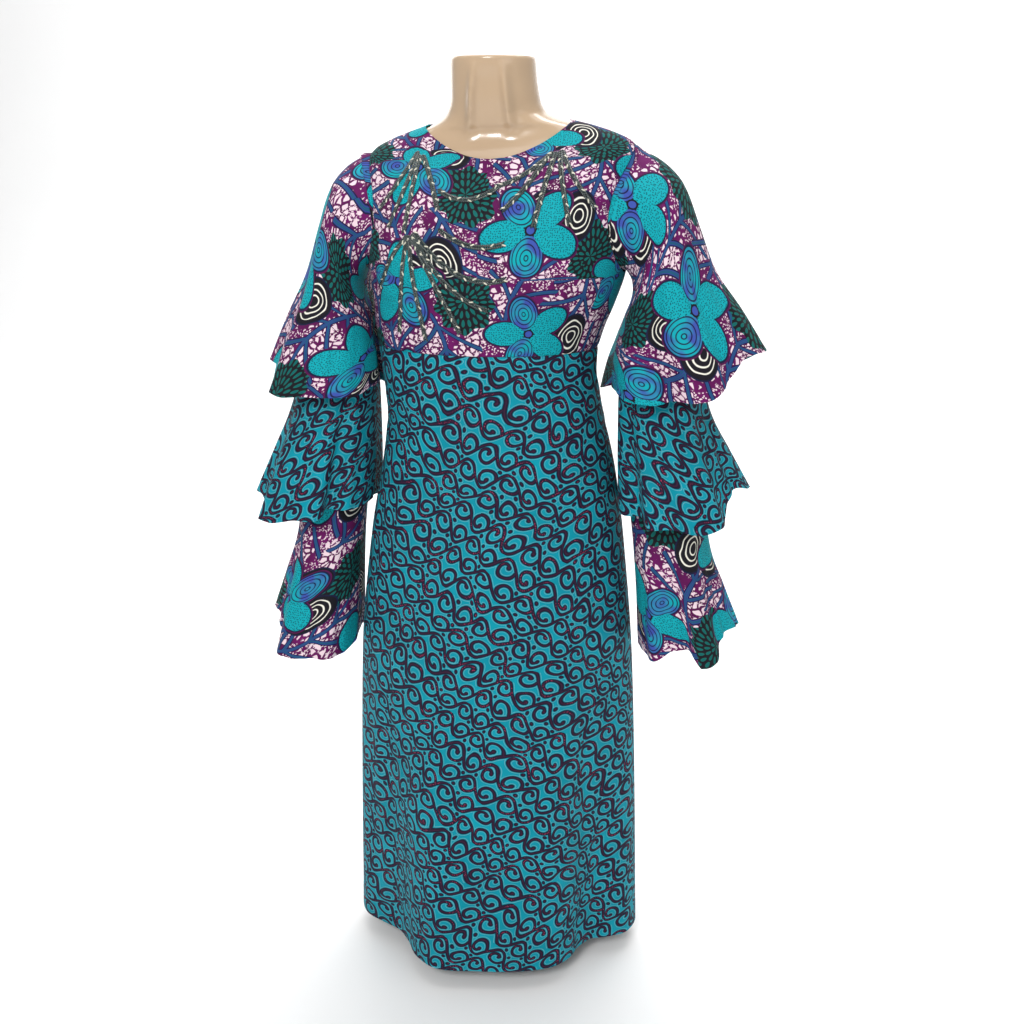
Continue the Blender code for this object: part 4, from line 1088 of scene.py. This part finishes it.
def motif_ground(x, y):
    """Plum ground with white-pink pebbles between fine cracks, and bare patches."""
    bent_x, bent_y = x + noise(x, y, 0.7) * 0.7, y + noise(y, x, 0.7) * 0.7
    cracks = voronoi(bent_x, bent_y, 1.20, "DISTANCE_TO_EDGE", 0.85)
    amount = (noise(x, y, 0.30) * 1.20 - 0.34).most(0.17)
    pebbles = (amount - cracks).under(0.0, 0.02)
    small = voronoi(bent_x + 7.0, bent_y, 3.1)
    dots = small.under(0.26, 0.04) * noise(x + 5.0, y, 0.5).under(0.52, 0.03)
    colour = noise(x, y, 0.35, 2.0).under(0.5, 0.2).mix(PLUM, PLUM_DEEP)
    return pebbles.mix(dots.mix(colour, PEBBLE), PEBBLE)


def add_stems(colour, x, y, shift_x, shift_y):
    """A bowed stem with three side shoots on each side, blue with a dark outline."""
    in_x, in_y, _ = cell(x, y, shift_x, shift_y, 1.0)
    side = abs(in_x - (in_y * in_y) * 0.055)
    nearest = side + (abs(in_y) - 6.2).most(0.0) * 3.0
    for low in (-4.6, -1.6, 1.4):
        shoot = abs(in_y - low - side * 1.05 + side * side * 0.07) * 0.72
        shoot = shoot + (side - 4.3).most(0.0) * 3.0
        nearest = nearest.least(shoot + 0.05)
    colour = nearest.under(0.33).mix(colour, NAVY)
    colour = nearest.under(0.22).mix(colour, STEM)
    return nearest.near(0.10, 0.03, 0.02).mix(colour, TEAL_DEEP)


def add_leaf_clumps(colour, x, y, shift_x, shift_y):
    """Rosettes of small pointed leaflets on a dark ground."""
    in_x, in_y, _ = cell(x, y, shift_x, shift_y, 2.0)
    out = hypot(in_x, in_y * 0.82)
    angle = in_y.heading(in_x)
    inside = (out - ((angle * 9.0).sine() * 0.28 + 3.3)).under(0.0)
    rings = out / LEAFLET_LENGTH
    ring = rings.floor()
    turn = (angle / (2 * math.pi)) * (ring * 9.0 + 6.0) + (ring * 0.5).fract()
    across, along = ((share.fract() - 0.5) * 2.0 for share in (turn, rings))
    leaflet = (across * across * 2.5 + along * along).root()
    colour = inside.mix(colour, INK)
    colour = (inside * leaflet.under(0.86, 0.06)).mix(colour, LEAF)
    return (inside * leaflet.under(0.45, 0.10) * 0.6).mix(colour, TEAL_DEEP)


def add_discs(colour, x, y, shift_x, shift_y):
    """Round black discs in pairs, with uneven white rings."""
    in_x, in_y, _ = cell(x, y, shift_x, shift_y, 2.0)
    out = hypot(abs(in_x) - 2.05, in_y * 0.70)
    rings = ((out + noise(x, y, 0.45) * 0.5) * 1.9).fract().near(0.5, 0.13, 0.05)
    colour = out.under(2.25).mix(colour, NAVY)
    colour = out.under(2.10).mix(colour, INK)
    centre = out.under(0.25)
    return (rings * out.under(1.72) * (centre * -1.0 + 1.0)).mix(colour, CREAM)


def add_flowers(colour, x, y, shift_x, shift_y):
    """Ordinary five-petalled flowers. Petals are dotted teal or ringed blue-violet in turn."""
    in_x, in_y, second = cell(x, y, shift_x, shift_y, 2.0)
    out = hypot(in_x, in_y) / (second * 0.25 + 0.92)
    turn = in_y.heading(in_x) * (PETALS / (2 * math.pi)) + 10.0
    angle = (turn.fract() - 0.5) * (2 * math.pi / PETALS)
    along = (out * angle.cosine() - PETAL_OUT) / PETAL_LENGTH
    shape = hypot(along, out * angle.sine() / PETAL_WIDTH)
    ringed = turn.floor().every(float(PETALS)).every(2.0)
    dotted = voronoi(x, y, 3.6, "F1", 0.7).under(0.27, 0.05).mix(TEAL, TEAL_DEEP)
    shaded = noise(x, y, 0.5).under(0.5, 0.15).mix(VIOLET, TEAL)
    banded = (shape * 4.2).fract().near(0.5, 0.13, 0.06).mix(shaded, NAVY)
    colour = shape.under(1.12, 0.012).mix(colour, PLUM_DEEP)
    colour = shape.under(1.0, 0.01).mix(colour, ringed.mix(dotted, banded))
    colour = shape.near(1.0, 0.045, 0.012).mix(colour, NAVY)
    colour = out.under(0.62).mix(colour, INK)
    return out.under(0.42).mix(colour, VIOLET)


def motif_colour(tree):
    """Plum with pebbles, stems, leaf clumps, ringed discs and flowers in a half-drop repeat."""
    x, y = fabric_place(tree)
    colour = motif_ground(x, y)
    for add_motif, shift_x, shift_y in (
        (add_stems, 1.0, 8.5),
        (add_stems, 8.0, 3.0),
        (add_leaf_clumps, 7.6, 10.5),
        (add_discs, 11.3, 6.2),
        (add_flowers, 0.0, 0.0),
    ):
        colour = add_motif(colour, x, y, shift_x, shift_y)
    return colour


def textured(name, roughness, light, dark, scale, bump, rough_range, **settings):
    """A material with noise in its colour, roughness and bump. scale stretches the noise along x, y and z."""
    made, tree, shader = new_material(name, roughness, **settings)
    place = add_node(tree, "TexCoord", {}).outputs["Object"]
    mapping = add_node(tree, "Mapping", {"Scale": scale, "Vector": place})
    grain = add_node(tree, "TexNoise", {"Scale": 1.0, "Detail": 4.0, "Vector": mapping.outputs[0]})
    amount = Num(tree, grain.outputs[0])
    feed(shader.inputs["Base Color"], amount.mix(dark, light))
    low, high = rough_range
    feed(shader.inputs["Roughness"], amount * (high - low) + low)
    add_bump(shader, amount, *bump)
    return made


def finish_hard_parts():
    """Materials of the stand and the zip, which are shown as the part has them."""
    steel = textured(
        "brushed_steel", 0.3, (0.62, 0.62, 0.63), (0.46, 0.46, 0.48), (900, 900, 25),
        (0.15, 0.0002), (0.24, 0.40), Metallic=1.0,
    )
    tape = textured(
        "zip_tape_weave", 0.7, (0.020, 0.040, 0.060), (0.008, 0.014, 0.024), (300, 300, 1400),
        (0.5, 0.0003), (0.6, 0.8),
    )
    lacquer = textured(
        "zip_lacquer", 0.35, (0.075, 0.080, 0.100), (0.035, 0.038, 0.050), (500, 500, 500),
        (0.1, 0.0001), (0.26, 0.42), Metallic=1.0,
    )
    for finish, nodes in (
        (steel, ("stand_base", "stand_pole", "stand_flange", "stand_collar")),
        (tape, ("zip_tape",)),
        (lacquer, ("zip_slider", "zip_pull")),
    ):
        for node in nodes:
            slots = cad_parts[node].data.materials
            slots.clear()
            slots.append(finish)


# Dress form: the same sections as the part's, finer, with two soft ridges down the front of the neck
FORM_AROUND = 144
FORM_SHARP_DEG = 50
NECK_RIDGE_X = 0.017
NECK_RIDGE_WIDTH = 0.0055
NECK_RIDGE_RISE = 0.0085
NECK_RIDGE_LOW_Z = 1.096
NECK_RIDGE_HIGH_Z = 1.184


def form_points(azimuth, z):
    points = torso(azimuth, z, FORM_SECTIONS, FORM_BUST_SPREAD_X)
    x = points[..., 0]
    spread = NECK_RIDGE_X + (NECK_RIDGE_HIGH_Z - z) * 0.10
    ridges = sum(np.exp(-(((x - side * spread) / NECK_RIDGE_WIDTH) ** 2)) for side in (-1, 1))
    share = share_of((z - NECK_RIDGE_LOW_Z) / (NECK_RIDGE_HIGH_Z - NECK_RIDGE_LOW_Z))
    points[..., 1] -= NECK_RIDGE_RISE * ridges * 4 * share * (1 - share) * (np.sin(azimuth) < 0)
    return points


def tube_quads(rows, around):
    """Faces between the closed rings of a tube."""
    return [
        (low + c, low + (c + 1) % around, low + around + (c + 1) % around, low + around + c)
        for low in range(0, (rows - 1) * around, around)
        for c in range(around)
    ]


def make_form():
    """The glossy form, smooth and whole, standing for the part's faceted one."""
    body, neck = np.linspace(0.500, 1.050, 90), np.linspace(1.054, 1.186, 60)
    heights = np.concatenate([body, neck, [1.1875, 1.1889, 1.1897]])
    azimuth = np.linspace(0, 2 * np.pi, FORM_AROUND, endpoint=False)
    azimuth, z = np.meshgrid(azimuth, heights)
    points = form_points(azimuth, z)
    quads = tube_quads(len(heights), FORM_AROUND)
    quads.append(tuple(reversed(range(FORM_AROUND))))
    quads.append(tuple((len(heights) - 1) * FORM_AROUND + c for c in range(FORM_AROUND)))
    gloss = textured(
        "form_gloss", 0.2, SHELL_BEIGE, tuple(0.90 * c for c in SHELL_BEIGE), (9, 9, 9),
        (0.12, 0.0006), (0.20, 0.30), Coat_Weight=0.55, Coat_Roughness=0.12,
    )
    made = mesh_object(
        "form_gloss_body", "form_shell", points.reshape(-1, 3).tolist(), quads, gloss, FORM_SHARP_DEG
    )
    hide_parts("form_body")
    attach(made, BODY)


# Sewn bead lines on the bodice front: x and z of the start, x and z of the end, and sag
BEAD_LINES = (
    (-0.086, 1.082, -0.126, 1.018, 0.004),
    (-0.084, 1.079, -0.110, 0.998, 0.004),
    (-0.082, 1.078, -0.088, 0.994, -0.003),
    (-0.079, 1.078, -0.050, 1.018, -0.005),
    (0.084, 1.084, 0.124, 1.022, 0.004),
    (0.082, 1.083, 0.098, 1.004, 0.004),
    (0.078, 1.082, 0.060, 1.000, -0.004),
    (0.074, 1.082, 0.014, 1.044, 0.006),
    (0.070, 1.079, 0.024, 1.018, 0.006),
    (-0.052, 1.040, 0.016, 1.043, 0.012),
    (-0.046, 0.998, 0.030, 0.984, 0.010),
    (-0.083, 0.990, -0.122, 0.930, -0.006),
    (-0.083, 0.990, -0.100, 0.880, 0.006),
    (-0.081, 0.990, -0.066, 0.872, -0.006),
    (-0.079, 0.990, -0.024, 0.884, -0.008),
    (-0.077, 0.992, 0.012, 0.912, 0.014),
    (-0.075, 0.994, 0.034, 0.948, 0.020),
)
BEAD_LENGTH = 0.0052
BEAD_RADIUS = 0.00096
BEAD_STEP = 0.0026
BEAD_SLANT_DEG = 34.0
BEAD_ASIDE = 0.0016
BEAD_LIFT = 0.0019
# Every so many beads is a pale one: a painted glint, standing for light caught on the dark glass
GLINT_BEAD_EVERY = 9


def bodice_place(x, z):
    """The azimuth on the bodice front where its surface has this x."""
    half_width, _, _, _, centre_x = np.moveaxis(smooth_table(BODICE_SECTIONS, z), -1, 0)
    return -np.arccos(np.clip((x - centre_x) / half_width, -0.97, 0.97))


def bead_frames(row):
    """Points along one sewn line with the ways along it, across it and out of the cloth."""
    x0, z0, x1, z1, sag = row
    share = np.linspace(0, 1, 60)
    x = x0 + (x1 - x0) * share
    z = z0 + (z1 - z0) * share - 4 * sag * share * (1 - share)
    azimuth = bodice_place(x, z)
    height = z - SHOULDER_TILT * x * share_of((z - TILT_LOW_Z) / TILT_FADE_IN)
    line = bodice(azimuth, height, BEAD_LIFT)
    run = run_of(steps(line))
    at = np.arange(BEAD_STEP / 2, run[-1], BEAD_STEP)
    centre = np.stack([np.interp(at, run, values) for values in line.T], axis=1)
    along = unit(np.gradient(centre, axis=0))
    out = np.stack([np.interp(at, run, v) for v in surface_normals(cloth_torso, azimuth, height).T], axis=1)
    across = unit(np.cross(out, along))
    return centre, along, across, unit(np.cross(along, across))


def bead_mesh():
    """Unit bead along x: a six-sided spindle with cut ends."""
    profile = ((-0.5, 0.45), (-0.3, 0.95), (0.0, 1.0), (0.3, 0.95), (0.5, 0.45))
    angle = np.linspace(0, 2 * np.pi, 6, endpoint=False)
    points = [(x, r * math.cos(a), r * math.sin(a)) for x, r in profile for a in angle]
    faces = [
        (r * 6 + c, (r + 1) * 6 + c, (r + 1) * 6 + (c + 1) % 6, r * 6 + (c + 1) % 6)
        for r in range(len(profile) - 1)
        for c in range(6)
    ]
    faces += [tuple(range(6)), tuple(reversed(range(24, 30)))]
    return np.array(points), faces


def make_beads():
    """Sewn lines of slanted beads in pairs, dark glass with a pale one here and there: the pale beads are
    painted glints, standing for light caught on the dark glass.
    """
    dark = textured(
        "bead_dark_glass", 0.15, (0.020, 0.048, 0.042), (0.008, 0.011, 0.013), (260, 260, 260),
        (0.1, 0.0001), (0.10, 0.22), Coat_Weight=0.8, Coat_Roughness=0.06,
    )
    # Pale glass for the odd bead that is a painted glint, standing for light on the dark beads
    painted_glint = textured(
        "bead_painted_glint_glass", 0.2, (0.80, 0.78, 0.64), (0.56, 0.52, 0.40), (260, 260, 260),
        (0.1, 0.0001), (0.12, 0.26), Coat_Weight=0.6, Coat_Roughness=0.08,
    )
    unit_points, unit_faces = bead_mesh()
    slant = math.radians(BEAD_SLANT_DEG)
    groups = {"dark": ([], []), "painted_glint": ([], [])}
    number = 0
    for row in BEAD_LINES:
        for centre, along, across, out in zip(*bead_frames(row)):
            for side in (-1, 1):
                number += 1
                # The pale beads put in here are painted glints, not beads of another colour
                points, faces = groups["painted_glint" if number % GLINT_BEAD_EVERY == 0 else "dark"]
                way = along * math.cos(slant) + across * side * math.sin(slant)
                aside = np.cross(out, way)
                middle = centre + across * side * BEAD_ASIDE
                placed = middle + (
                    unit_points[:, :1] * BEAD_LENGTH * way
                    + unit_points[:, 1:2] * BEAD_RADIUS * aside
                    + unit_points[:, 2:] * BEAD_RADIUS * out
                )
                start = sum(len(block) for block in points)
                points.append(placed)
                faces += [tuple(start + i for i in face) for face in unit_faces]
    for name, finish in (("dark", dark), ("painted_glint", painted_glint)):
        points, faces = groups[name]
        made = mesh_object(f"bodice_beads_{name}", f"beads_{name}", np.vstack(points).tolist(), faces, finish)
        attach(made, BODY)


# Camera and studio, at the photograph's angle
CAMERA_TURN_DEG = 10.0
CAMERA_DOWN_DEG = 17.0
CAMERA_DISTANCE = 1.52
CAMERA_HEIGHT = 1.10
CAMERA_ASIDE = 0.019
CAMERA_LENS = 43.03
CAMERA_SENSOR = 36.0


def make_camera():
    turn = math.radians(CAMERA_TURN_DEG)
    camera = add_object("camera", bpy.data.cameras.new("camera"))
    camera.data.lens = CAMERA_LENS
    camera.data.sensor_width = CAMERA_SENSOR
    camera.location = (
        math.sin(turn) * CAMERA_DISTANCE + CAMERA_ASIDE * math.cos(turn),
        -math.cos(turn) * CAMERA_DISTANCE + CAMERA_ASIDE * math.sin(turn),
        CAMERA_HEIGHT,
    )
    camera.rotation_euler = (math.radians(90 - CAMERA_DOWN_DEG), 0, turn)
    bpy.context.scene.camera = camera


# Area lights: name, place, aim, size and watts
LIGHTS = (
    ("key_light", (-0.3, -2.7, 2.3), (0, 0, 0.75), 0.8, 56),
    ("fill_light", (2.2, -2.2, 1.5), (0, 0, 0.7), 1.8, 9),
    ("top_light", (0.2, 0.2, 3.2), (0, 0, 0.6), 2.2, 26),
    ("back_light", (-1.6, 2.2, 1.8), (0, 0, 0.7), 1.8, 12),
    ("wall_light", (0.0, 1.6, 3.6), (0, 3.9, 1.0), 3.0, 150),
)


# The floor runs back to its end and bends up into a wall
FLOOR_REACH = 14.0
FLOOR_END = 2.4
BEND_RADIUS = 1.8
WALL_TOP = 9.0
WORLD_STRENGTH = 0.50


def make_studio():
    world = bpy.data.worlds.new("studio")
    world.use_nodes = True
    backdrop = world.node_tree.nodes["Background"]
    backdrop.inputs["Color"].default_value = (1.0, 1.0, 1.0, 1)
    backdrop.inputs["Strength"].default_value = WORLD_STRENGTH
    bpy.context.scene.world = world
    for name, place, aim, size, watts in LIGHTS:
        light = bpy.data.lights.new(name, "AREA")
        light.size = size
        light.energy = watts
        lamp = add_object(name, light)
        lamp.location = place
        lamp.rotation_euler = (Vector(aim) - Vector(place)).to_track_quat("-Z", "Y").to_euler()
    angles = np.linspace(0, math.pi / 2, 24)
    bend = [(FLOOR_END + BEND_RADIUS * math.sin(a), BEND_RADIUS - BEND_RADIUS * math.cos(a)) for a in angles]
    profile = [(-FLOOR_REACH, 0.0), *bend, (FLOOR_END + BEND_RADIUS, WALL_TOP)]
    points = [(x, y, z) for y, z in profile for x in (-FLOOR_REACH, FLOOR_REACH)]
    quads = [(2 * i, 2 * i + 1, 2 * i + 3, 2 * i + 2) for i in range(len(profile) - 1)]
    paper = textured(
        "floor_paper", 0.9, (0.88, 0.88, 0.88), (0.85, 0.85, 0.85), (3, 3, 3), (0.05, 0.001), (0.85, 0.95)
    )
    floor = mesh_object("studio_floor", "studio_floor", points, quads, paper)


def main():
    bpy.context.scene.view_settings.view_transform = "Standard"
    make_camera()
    make_studio()
    motif_finish = cloth_material("motif_print_cloth", motif_colour)
    scroll_finish = cloth_material("scroll_print_cloth", scroll_colour)
    make_form()
    make_bodice(motif_finish)
    make_skirt(scroll_finish)
    make_sleeves(motif_finish, scroll_finish)
    make_beads()
    finish_hard_parts()


main()
